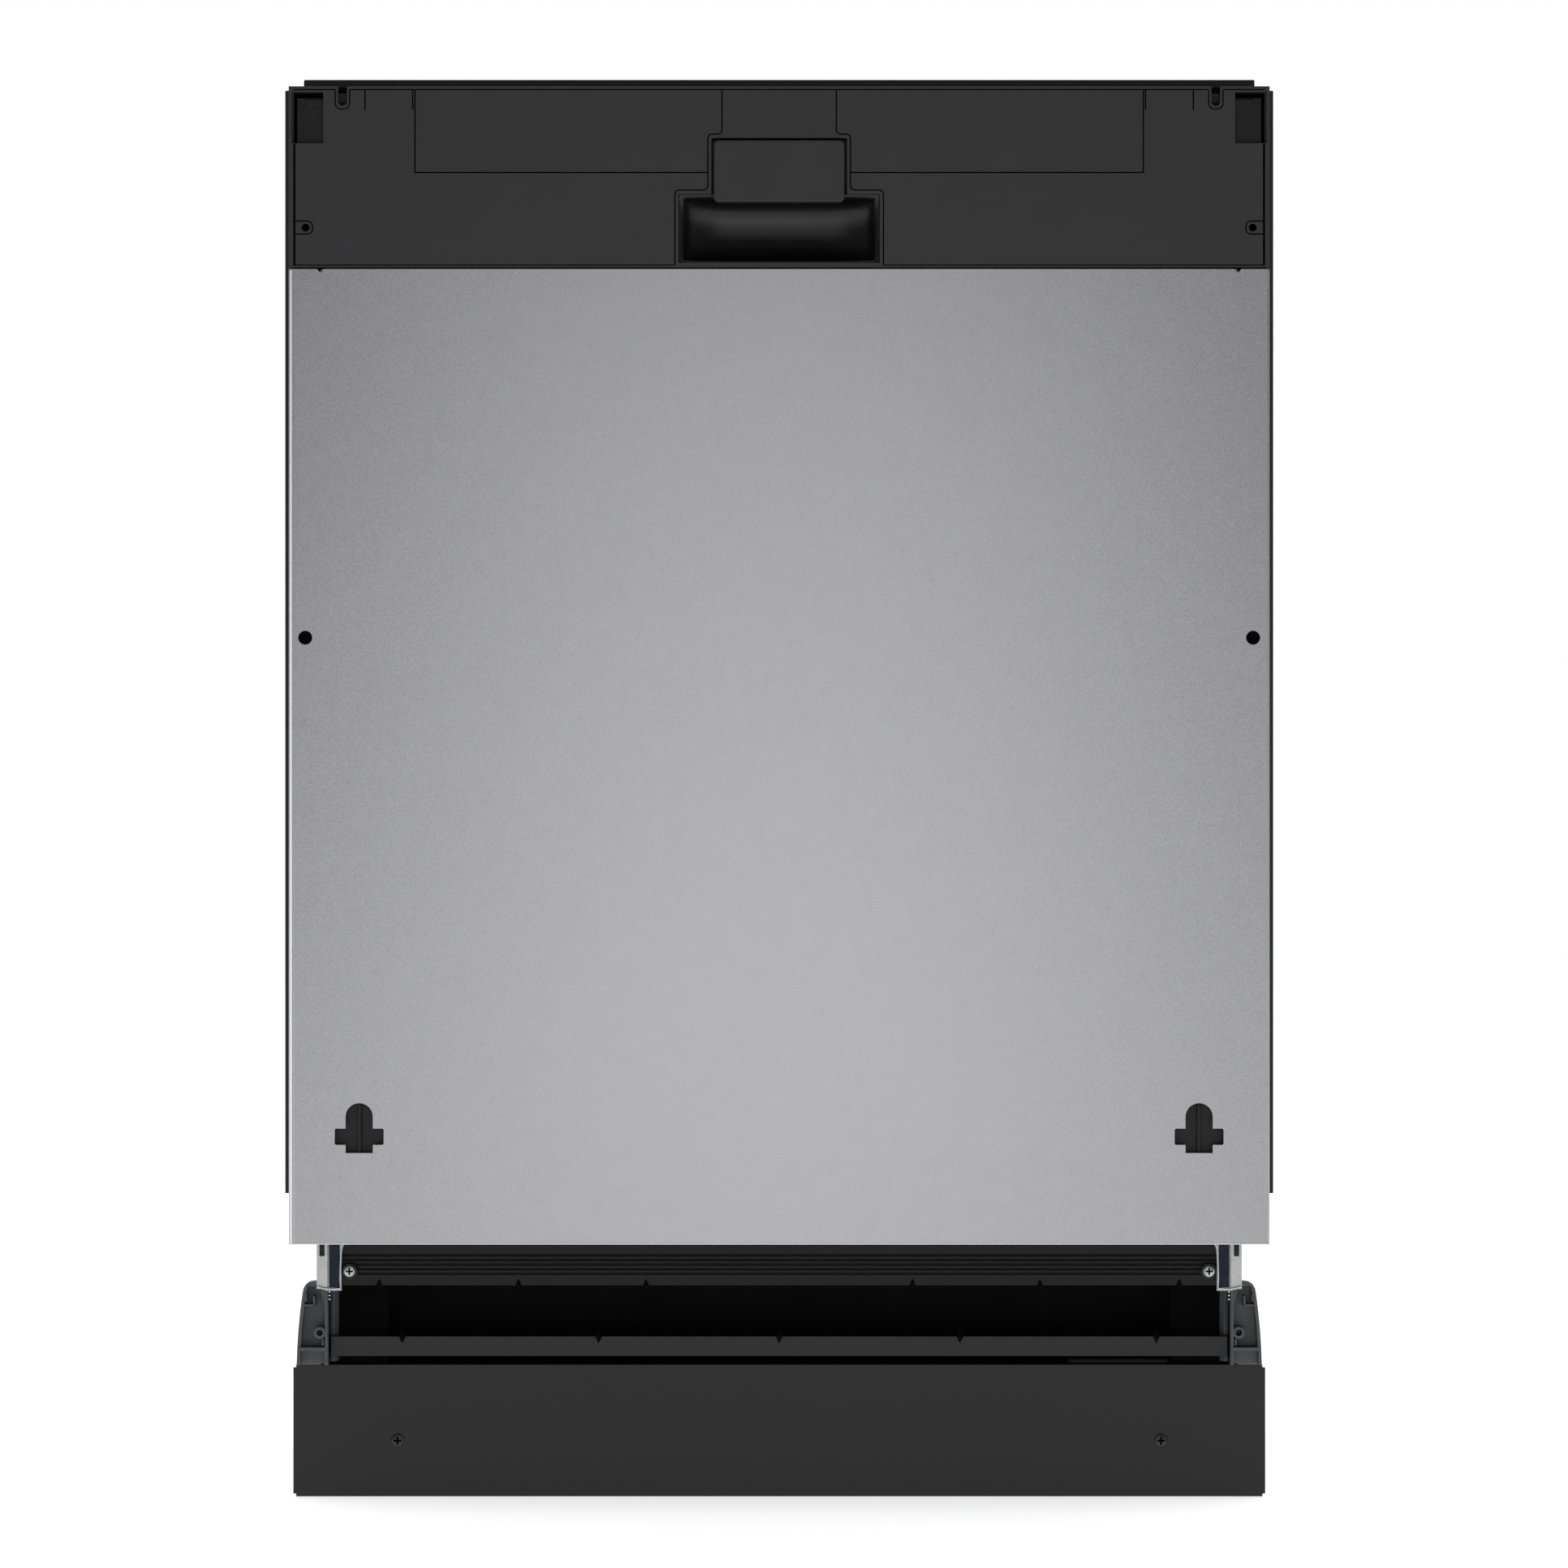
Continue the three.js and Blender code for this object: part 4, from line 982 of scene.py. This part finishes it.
class DISHWASHER_OT_racks(Builder, bpy.types.Operator):
    """Bend the racks from coated wire, with tines, shelves and handles"""

    bl_idname = "dishwasher.racks"
    bl_label = "Racks"

    def execute(self, context):
        height = looks().tine_height / MM
        self.rack("lower_rack", 13, 11, (0.3, 0.62, 1.0), (-213, -165, -117, -69, -21, 27, 75),
                  height, 6)
        self.rack("upper_rack", 14, 12, (0.35, 0.7, 1.0), (-60, -20, 60, 100), height * 0.62, 9)
        self.shelves()
        self.silverware_basket()
        self.tray_combs()
        self.wheels()
        return {"FINISHED"}

    def rack(self, node, across, along, levels, rows, tine, lean):
        low, high = box_mm(node)
        shape = bmesh.new()
        add_basket(shape, low, high, across, along, levels)
        made = rolled(node + "_wires", shape, nylon_coat(), node)
        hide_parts(node)
        shape = bmesh.new()
        floor = low.z + 6
        add_tines(shape, rows, spread(low.y + 30, high.y - 40, 11), floor, tine, lean)
        rolled(node + "_tines", shape, nylon_coat(), node)
        shape = bmesh.new()
        add_grip(shape, 74, low.y + 2, high.z + 1.5, 13)
        fitted(node + "_handle", shape, grey_polypropylene(), node, 1.5, 3, 40)
        tips = bmesh.new()
        for side in (-1, 1):
            x = side * (high.x - 8)
            for y in (low.y + 30, high.y - 30):
                add_block(tips, (x - 5, y - 7, low.z - 2), (x + 5, y + 7, low.z + 9))
        fitted(node + "_clips", tips, grey_polypropylene(), node, 1.2, 2)

    def shelves(self):
        """The folding cup shelves along both sides of the upper rack."""
        low, high = box_mm("upper_rack")
        thin = looks().wire_radius / MM
        shape = bmesh.new()
        for side in (-1, 1):
            for y0, y1 in ((low.y + 26, low.y + 186), (low.y + 206, high.y - 26)):
                inner, outer, z = side * 158, side * (high.x - 9), low.z + 70
                loop = [(inner, y0, z), (outer, y0, z - 2), (outer, y1, z - 2), (inner, y1, z)]
                add_wire(shape, rounded(loop, 12, 4, closed=True), thin, 6, True)
                for y in spread(y0 + 22, y1 - 22, 5):
                    add_wire(shape, [(inner, y, z), (outer, y, z - 2)], thin * 0.85, 6)
        rolled("cup_shelves", shape, nylon_coat(), "upper_rack")

    def silverware_basket(self):
        """The cutlery basket with its walls opened into a lattice, and its handle."""
        low, high = box_mm("silverware_basket")
        cutter = bmesh.new()
        heights = spread(low.z + 16, high.z - 16, 4)
        for z0, z1 in zip(heights, heights[1:]):
            for y in spread(low.y + 12, high.y - 12, 12)[:-1]:
                add_block(cutter, (low.x - 5, y + 2.5, z0 + 2), (high.x + 5, y + 15.5, z1 - 2))
        basket = carved("silverware_basket", "silverware_basket_lattice", cutter,
                        grey_polypropylene(), "lower_rack")
        soften(basket, 0.5 * MM, 1)
        shape = bmesh.new()
        x, middle = (low.x + high.x) / 2, (low.y + high.y) / 2
        line = [(x, middle - 45, high.z - 22), (x, middle - 45, high.z + 1),
                (x, middle + 45, high.z + 1), (x, middle + 45, high.z - 22)]
        add_wire(shape, rounded(line, 14, 5), 3.4, 10)
        rolled("silverware_basket_handle", shape, grey_polypropylene(), "lower_rack")

    def tray_combs(self):
        """The rows of little teeth that hold each knife and fork in the top tray."""
        low, high = box_mm("cutlery_tray")
        shape = bmesh.new()
        pitch, floor = 16.0, low.z + 2.6
        for start, end in ((-244, -86), (-75, 75), (86, 244)):
            teeth = int((end - start) / pitch)
            step = (end - start) / teeth
            for y in spread(low.y + 30, high.y - 40, 8):
                outline = [Vector((start, 0, floor))]
                for i in range(teeth):
                    x = start + i * step
                    for share, z in ((0.15, 15), (0.38, 15), (0.6, 5), (0.93, 5)):
                        outline.append(Vector((x + share * step, 0, floor + z)))
                outline.append(Vector((end, 0, floor)))
                add_extruded(shape, outline, y, y + 1.6)
        fitted("cutlery_tray_combs", shape, grey_polypropylene(), "cutlery_tray",
               0.35, 1)

    def wheels(self):
        """A ribbed web and a hub cap on the outside of each rack wheel."""
        for end in ("front", "rear"):
            for side in ("left", "right"):
                node = f"rack_wheel_{end}_{side}"
                low, high = box_mm(node)
                x = high.x if side == "right" else low.x
                sign = 1 if side == "right" else -1
                y, z = (low.y + high.y) / 2, (low.z + high.z) / 2
                shape = bmesh.new()
                profile = [(0, 1.2), (4, 1.0), (5.2, 0), (5.2, -1.5), (0, -1.5)]
                add_turned(shape, [(r, sign * s) for r, s in profile], (x, y, z), "X", 24)
                for i in range(6):
                    angle = math.pi * i / 3
                    start = Vector((x, y + 5 * math.cos(angle), z + 5 * math.sin(angle)))
                    end_at = Vector((x, y + 14.5 * math.cos(angle), z + 14.5 * math.sin(angle)))
                    add_wire(shape, [start, end_at], 0.8, 6)
                fitted(node + "_web", shape, grey_polypropylene(), node, 0.3, 1)


# ---------------------------------------------------------------- water

def add_nozzle(shape, x, y, z, up):
    """A raised ring with a jet hole, facing up or down."""
    profile = [(1.2, 0), (1.4, 1.6), (3.2, 1.6), (4.2, 0), (4.2, -1), (1.2, -1), (1.2, 0)]
    add_turned(shape, [(r, up * s) for r, s in profile], (x, y, z), "Z", 18)


def rib(inner, outer, half):
    """The profile of a flat ring, closed on itself, from its two radii and half its thickness."""
    return [(inner, -half), (outer, -half), (outer, half), (inner, half), (inner, -half)]


class DISHWASHER_OT_water(Builder, bpy.types.Operator):
    """Fit nozzles, filter, inlet channel and pump details"""

    bl_idname = "dishwasher.water"
    bl_label = "Water system"

    def execute(self, context):
        for node, faces in (("lower_spray_arm", (1,)), ("upper_spray_arm", (1, -1))):
            self.arm(node, faces)
        self.filter()
        self.inlet_channels()
        self.pumps()
        return {"FINISHED"}

    def arm(self, node, faces):
        low, high = box_mm(node)
        y = (low.y + high.y) / 2
        blade = (202, 214) if node == "lower_spray_arm" else (535, 546)
        shape = bmesh.new()
        for up in faces:
            z = blade[1] if up > 0 else blade[0]
            for i, x in enumerate((62, 96, 128, 158, 184)):
                for side in (-1, 1):
                    offset = (-1) ** i * 7 * side
                    add_nozzle(shape, side * x, y + offset, z, up)
        for side in (-1, 1):
            line = [(side * 40, y, blade[1] + 0.2), (side * (high.x - 14), y, blade[1] + 0.2)]
            add_wire(shape, line, 1.6, 8)
        fitted(node + "_nozzles", shape, shadow_grey(), node, 0.3, 1)

    def filter(self):
        """The filter cup's turning grip and its fine woven sleeve."""
        low, high = box_mm("filter_cylinder")
        x, y = (low.x + high.x) / 2, (low.y + high.y) / 2
        radius = (high.x - low.x) / 2
        grip = bmesh.new()
        profile = [(radius - 6, 0), (radius - 6, 4), (radius - 1, 4), (radius - 1, 0),
                   (radius - 6, 0)]
        add_turned(grip, profile, (x, y, high.z - 1), "Z", 40)
        line = [(x - radius + 4, y, high.z + 1), (x - radius + 12, y, high.z + 9),
                (x + radius - 12, y, high.z + 9), (x + radius - 4, y, high.z + 1)]
        add_wire(grip, rounded(line, 8, 4), 3.0, 10)
        fitted("filter_grip", grip, shadow_grey(), "filter", 0.5, 2)
        sleeve = bmesh.new()
        turns = 26
        for z in spread(low.z + 5, high.z - 6, turns):
            ring = [(x + (radius - 0.4) * math.cos(a), y + (radius - 0.4) * math.sin(a), z)
                    for a in (2 * math.pi * k / 36 for k in range(36))]
            add_wire(sleeve, ring, 0.55, 5, True)
        rolled("filter_sleeve", sleeve, bright_stainless(), "filter")

    def inlet_channels(self):
        """The serpentine water channels moulded into the side chamber."""
        low, high = box_mm("water_inlet_chamber")
        shape = bmesh.new()
        face = low.x + 0.4
        y0, y1 = low.y + 18, high.y - 18
        levels = spread(low.z + 24, high.z - 24, 8)
        line = []
        for i, z in enumerate(levels):
            ends = (y0, y1) if i % 2 else (y1, y0)
            line += [(face, ends[0], z), (face, ends[1], z)]
        add_wire(shape, rounded(line, 14, 4), 2.6, 8)
        border = [(face, low.y + 6, low.z + 6), (face, high.y - 6, low.z + 6),
                  (face, high.y - 6, high.z - 6), (face, low.y + 6, high.z - 6)]
        add_wire(shape, rounded(border, 16, 5, closed=True), 2.0, 8, True)
        rolled("inlet_chamber_channels", shape, pale_polypropylene(), "cabinet")

    def pumps(self):
        """Cooling ribs on both pumps, the terminal lid and the inlet valve's thread."""
        shape = bmesh.new()
        low, high = box_mm("circulation_pump")
        x, z = (low.x + high.x) / 2, (low.z + high.z) / 2
        radius = (high.z - low.z) / 2
        for y in spread(high.y - 52, high.y - 10, 6):
            add_turned(shape, rib(radius * 0.7, radius * 0.83, 1), (x, y, z), "Y", 40)
        low, high = box_mm("drain_pump")
        y, z = (low.y + high.y) / 2, (low.z + high.z) / 2
        radius = (high.z - low.z) / 2
        for x in spread(low.x + 28, high.x - 8, 4):
            add_turned(shape, rib(radius * 0.7, radius + 0.8, 0.9), (x, y, z), "X", 36)
        low, high = box_mm("terminal_box")
        add_block(shape, (low.x + 3, low.y - 1.4, low.z + 3), (high.x - 3, low.y + 1, high.z - 3))
        fitted("pump_ribs", shape, pump_polyamide(), "cabinet", 0.5, 1)
        low, high = box_mm("inlet_valve")
        thread = bmesh.new()
        x, z = (low.x + high.x) / 2, (low.z + high.z) / 2
        for y in spread(high.y - 12, high.y - 1.5, 6):
            profile = [(9, -0.9), (12.6, 0), (9, 0.9), (9, -0.9)]
            add_turned(thread, profile, (x, y, z), "Y", 32)
        piece("inlet_thread", mesh_of(thread, "inlet_thread"), pale_polypropylene(),
              "cabinet")


def shadow_grey():
    # Painted shade: the same polypropylene, painted darker on nozzles and grips.
    return surface("dark_talc_filled_polypropylene", "#3E4144", 0.45, 0.0, (
        {"size": 12, "shade": 0.04, "rough": 0.05},
        {"size": 0.9, "height": 0.03, "strength": 0.25}))


# ---------------------------------------------------------------- inner door, springs and controls

class DISHWASHER_OT_inner_door(Builder, bpy.types.Operator):
    """Fit the liner's screws and ribs, the dispenser's small parts and the displays"""

    bl_idname = "dishwasher.inner_door"
    bl_label = "Inner door"

    def execute(self, context):
        back = box_mm("door_inner_liner")[1].y
        seat, pan = back - 0.2, back - 8.4
        places = [(x, seat, z) for x in (-281, 281) for z in (232, 370, 508, 646, 784)]
        places += [(x, seat, 838) for x in (-220, -80, 80, 220)]
        cross_screws("liner_screws", places, 4.0, 2.0, zinc_plate(), "door", facing=1)
        ribs = bmesh.new()
        lines = [((-150, pan, z), (150, pan, z)) for z in (600, 640, 680)]
        lines += [((x, pan, 250), (x, pan, 740)) for x in (-205, 205)]
        for line in lines:
            add_wire(ribs, line, 2.4, 10)
        rolled("liner_ribs", ribs, bright_stainless(), "door")
        self.dispenser()
        self.display()
        return {"FINISHED"}

    def dispenser(self):
        """The dispenser's raised frame and catch, the cap's grip and the lid's finger bars."""
        low, high = box_mm("dispenser_body")
        back = high.y
        trim = bmesh.new()
        sunk, inset = back - 0.8, 4
        left, right, foot, top = low.x + inset, high.x - inset, low.z + inset, high.z - inset
        border = [(left, sunk, foot), (right, sunk, foot), (right, sunk, top), (left, sunk, top)]
        add_wire(trim, rounded(border, 10, 4, closed=True), 1.0, 8, True)
        add_block(trim, (-14, back - 1, 470), (-4, back + 2.6, 506))
        fitted("dispenser_trim", trim, shadow_grey(), "door", 0.5, 2)
        cap_low, cap_high = box_mm("rinse_aid_cap")
        x, z = (cap_low.x + cap_high.x) / 2, (cap_low.z + cap_high.z) / 2
        grip = bmesh.new()
        add_block(grip, (x - 2.2, cap_high.y - 1, z - 11), (x + 2.2, cap_high.y + 2.8, z + 11))
        knurls, reach = 20, 15.2
        for k in range(knurls):
            angle = 2 * math.pi * k / knurls
            at_x, at_z = x + reach * math.cos(angle), z + reach * math.sin(angle)
            add_wire(grip, [(at_x, cap_low.y + 1, at_z), (at_x, cap_high.y + 0.6, at_z)], 0.9, 6)
        fitted("rinse_aid_cap_grip", grip, shadow_grey(), "rinse_aid_cap", 0.4, 2)
        lid = box_mm("dispenser_lid")[1].y
        pull = bmesh.new()
        for z in (452, 458, 464):
            add_block(pull, (-78, lid - 0.5, z), (-42, lid + 1.2, z + 2))
        fitted("dispenser_lid_grip", pull, shadow_grey(), "dispenser_lid", 0.4, 2)

    def display(self):
        """The time display and the lamps beside the buttons, without any marks."""
        top = box_mm("control_strip")[1].z
        window, lit = bmesh.new(), bmesh.new()
        add_block(window, (62, -258, top - 0.4), (132, -242, top + 0.3))
        fitted("display_window", window, gloss_acrylic(), "door", 0.2, 2)
        # each digit is seven bars: three that lie across it and two on either side
        middle, half, thin = -250, 2.5, 0.45
        bars = [(0, dy, half, thin) for dy in (0, 5, -5)]
        bars += [(dx, dy, thin, 2.2) for dx in (-half, half) for dy in (half, -half)]
        for x in (82, 92, 104, 114):
            for dx, dy, along, deep in bars:
                add_block(lit, (x + dx - along, middle + dy - deep, top + 0.2),
                          (x + dx + along, middle + dy + deep, top + 0.42))
        for button in ("power_button", "programme_button_1", "programme_button_2",
                       "programme_button_3", "start_button"):
            low, high = box_mm(button)
            x = (low.x + high.x) / 2
            add_block(lit, (x - 1.6, -260.2, top - 0.2), (x + 1.6, -258.6, top + 0.3))
        piece("display_segments", mesh_of(lit, "display_segments"), lamp_polycarbonate(),
              "door")


def lamp_polycarbonate():
    # Frosted polycarbonate over unlit lamps: a pale smoky grey.
    return surface("frosted_polycarbonate", "#8A8E90", 0.5, 0.0, (
        {"size": 2, "shade": 0.06, "rough": 0.05},))


def spring_wire():
    # Oil-tempered spring steel: dark and smooth, with brighter rubbed crowns.
    return surface("oil_tempered_spring_steel", "#7A7C80", 0.32, 1.0, (
        {"size": 2.5, "shade": 0.12, "rough": 0.08},))


class DISHWASHER_OT_springs(Builder, bpy.types.Operator):
    """Wind the door springs"""

    bl_idname = "dishwasher.springs"
    bl_label = "Door springs"

    def execute(self, context):
        for side in ("left", "right"):
            node = f"door_spring_{side}"
            low, high = box_mm(node)
            x = (low.x + high.x) / 2
            coil, wire, turns, steps = 2.75, 0.75, 26, 12
            hook = coil + wire + 0.1
            start = Vector((x, high.y - hook, low.z))
            end = Vector((x, low.y + hook, high.z))
            along = end - start
            axis = along.normalized()
            flat = Vector((1, 0, 0))
            other = axis.cross(flat)
            margin = 0.1
            line = [start, start + along * margin * 0.6]
            for i in range(turns * steps + 1):
                angle = 2 * math.pi * i / steps
                share = margin + (1 - 2 * margin) * i / (turns * steps)
                line.append(start + along * share
                            + coil * (math.cos(angle) * flat + math.sin(angle) * other))
            line += [end - along * margin * 0.6, end]
            shape = bmesh.new()
            add_wire(shape, line, wire, 6)
            mesh = mesh_of(shape, f"spring_coil_{side}", True)
            made = bpy.data.objects.new(f"spring_coil_{side}", mesh)
            context.scene.collection.objects.link(made)
            mesh.materials.append(spring_wire())
            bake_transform(made)
            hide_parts(node)
        return {"FINISHED"}


# ---------------------------------------------------------------- stage

CAMERA_DISTANCE = 3.55      # in front of the door's face
CAMERA_SIDE = 0.0029
CAMERA_HEIGHT = 0.4376
CAMERA_LENS = 136.2
SENSOR = 36.0
ROOM_DIM, ROOM_PALE = 0.12, 0.6     # the room's light in front, and above and behind
FLOOR_REACH = 9000                  # millimetres

# Each softbox: its place, what it faces (None for the middle of the machine), its size, and its
# power as a share of the front one's.
SOFTBOXES = {
    "front_softbox": ((0.0, -2.1, 0.38), (0.0, FRAME_BOUNDS[0].y, 0.42), (0.68, 1.4), 1.0),
    "left_softbox": ((-3.4, -1.2, 1.7), None, (1.4, 2.2), 0.14),
    "right_softbox": ((3.4, -1.2, 1.7), None, (1.4, 2.2), 0.14),
    "top_softbox": ((0.0, 0.2, 3.4), None, (4.6, 4.6), 11.0),
    "back_softbox": ((0.0, 4.4, 1.6), None, (2.6, 2.0), 2.0),
}


def softbox(name, place, target, size, power):
    """A rectangular area light at a place, turned towards a target."""
    lamp = bpy.data.lights.new(name, "AREA")
    lamp.shape = "RECTANGLE"
    lamp.size, lamp.size_y = size
    lamp.energy = power
    made = bpy.data.objects.new(name, lamp)
    bpy.context.scene.collection.objects.link(made)
    made.location = place
    made.rotation_euler = (Vector(target) - Vector(place)).to_track_quat("-Z", "Y").to_euler()
    return made


class DISHWASHER_OT_stage(Builder, bpy.types.Operator):
    """Set up the camera, the studio light and the pale floor"""

    bl_idname = "dishwasher.stage"
    bl_label = "Stage"

    def execute(self, context):
        scene = context.scene
        low, high = FRAME_BOUNDS
        lens = bpy.data.cameras.new("camera")
        lens.lens = CAMERA_LENS
        lens.sensor_width = SENSOR
        camera = bpy.data.objects.new("camera", lens)
        scene.collection.objects.link(camera)
        camera.location = (CAMERA_SIDE, low.y - CAMERA_DISTANCE, CAMERA_HEIGHT)
        camera.rotation_euler = (math.pi / 2, 0, 0)
        scene.camera = camera
        scene.view_settings.view_transform = "Standard"
        middle = (low + high) / 2
        for name, (place, target, size, share) in SOFTBOXES.items():
            softbox(name, place, target or middle, size, looks().light * share)
        self.room(scene)
        shape = bmesh.new()
        add_block(shape, (-FLOOR_REACH, -FLOOR_REACH, -20), (FLOOR_REACH, FLOOR_REACH, 0))
        floor = bpy.data.objects.new("floor", mesh_of(shape, "floor"))
        floor.data.materials.append(floor_paint())
        scene.collection.objects.link(floor)
        return {"FINISHED"}

    def room(self, scene):
        """A white backdrop whose light is dim in front, so the door's steel stays even."""
        world = bpy.data.worlds.new("studio")
        world.use_nodes = True
        tree = world.node_tree
        tree.nodes.clear()
        towards = add_node(tree, "ShaderNodeTexCoord").outputs["Generated"]
        height = add_node(tree, "ShaderNodeVectorMath", {"operation": "DOT_PRODUCT"},
                          {0: towards, 1: (0.0, 0.8, 0.6)})
        room = add_node(tree, "ShaderNodeMapRange", inputs={
            "Value": height.outputs["Value"], "From Min": -0.3, "From Max": 0.9,
            "To Min": ROOM_DIM, "To Max": ROOM_PALE})
        path = add_node(tree, "ShaderNodeLightPath")
        strength = add_node(tree, "ShaderNodeMapRange", inputs={
            "Value": path.outputs["Is Camera Ray"], "To Min": room.outputs[0], "To Max": 1.0})
        shade = add_node(tree, "ShaderNodeBackground", inputs={
            "Color": (1.0, 1.0, 1.0, 1.0), "Strength": strength.outputs[0]})
        add_node(tree, "ShaderNodeOutputWorld", inputs={"Surface": shade.outputs[0]})
        scene.world = world


# ---------------------------------------------------------------- add-on

OPERATORS = (
    DISHWASHER_OT_frame_finishes,
    DISHWASHER_OT_console,
    DISHWASHER_OT_door,
    DISHWASHER_OT_plinth,
    DISHWASHER_OT_racks,
    DISHWASHER_OT_water,
    DISHWASHER_OT_inner_door,
    DISHWASHER_OT_springs,
    DISHWASHER_OT_stage,
)


class DISHWASHER_PT_panel(bpy.types.Panel):
    """The dishwasher's settings, and a button for each group of pieces"""

    bl_label = "Dishwasher"
    bl_idname = "DISHWASHER_PT_panel"
    bl_space_type = "VIEW_3D"
    bl_region_type = "UI"
    bl_category = "Dishwasher"

    def draw(self, context):
        column = self.layout.column()
        for name in DishwasherLooks.__annotations__:
            column.prop(looks(), name)
        column.separator()
        for operator in OPERATORS:
            column.operator(operator.bl_idname)


CLASSES = (DishwasherLooks, *OPERATORS, DISHWASHER_PT_panel)


def register():
    for cls in CLASSES:
        bpy.utils.register_class(cls)
    bpy.types.Scene.dishwasher_looks = bpy.props.PointerProperty(type=DishwasherLooks)


def unregister():
    del bpy.types.Scene.dishwasher_looks
    for cls in reversed(CLASSES):
        bpy.utils.unregister_class(cls)


def main():
    register()
    for operator in OPERATORS:
        group, name = operator.bl_idname.split(".")
        getattr(getattr(bpy.ops, group), name)()


if __name__ == "__main__":
    main()
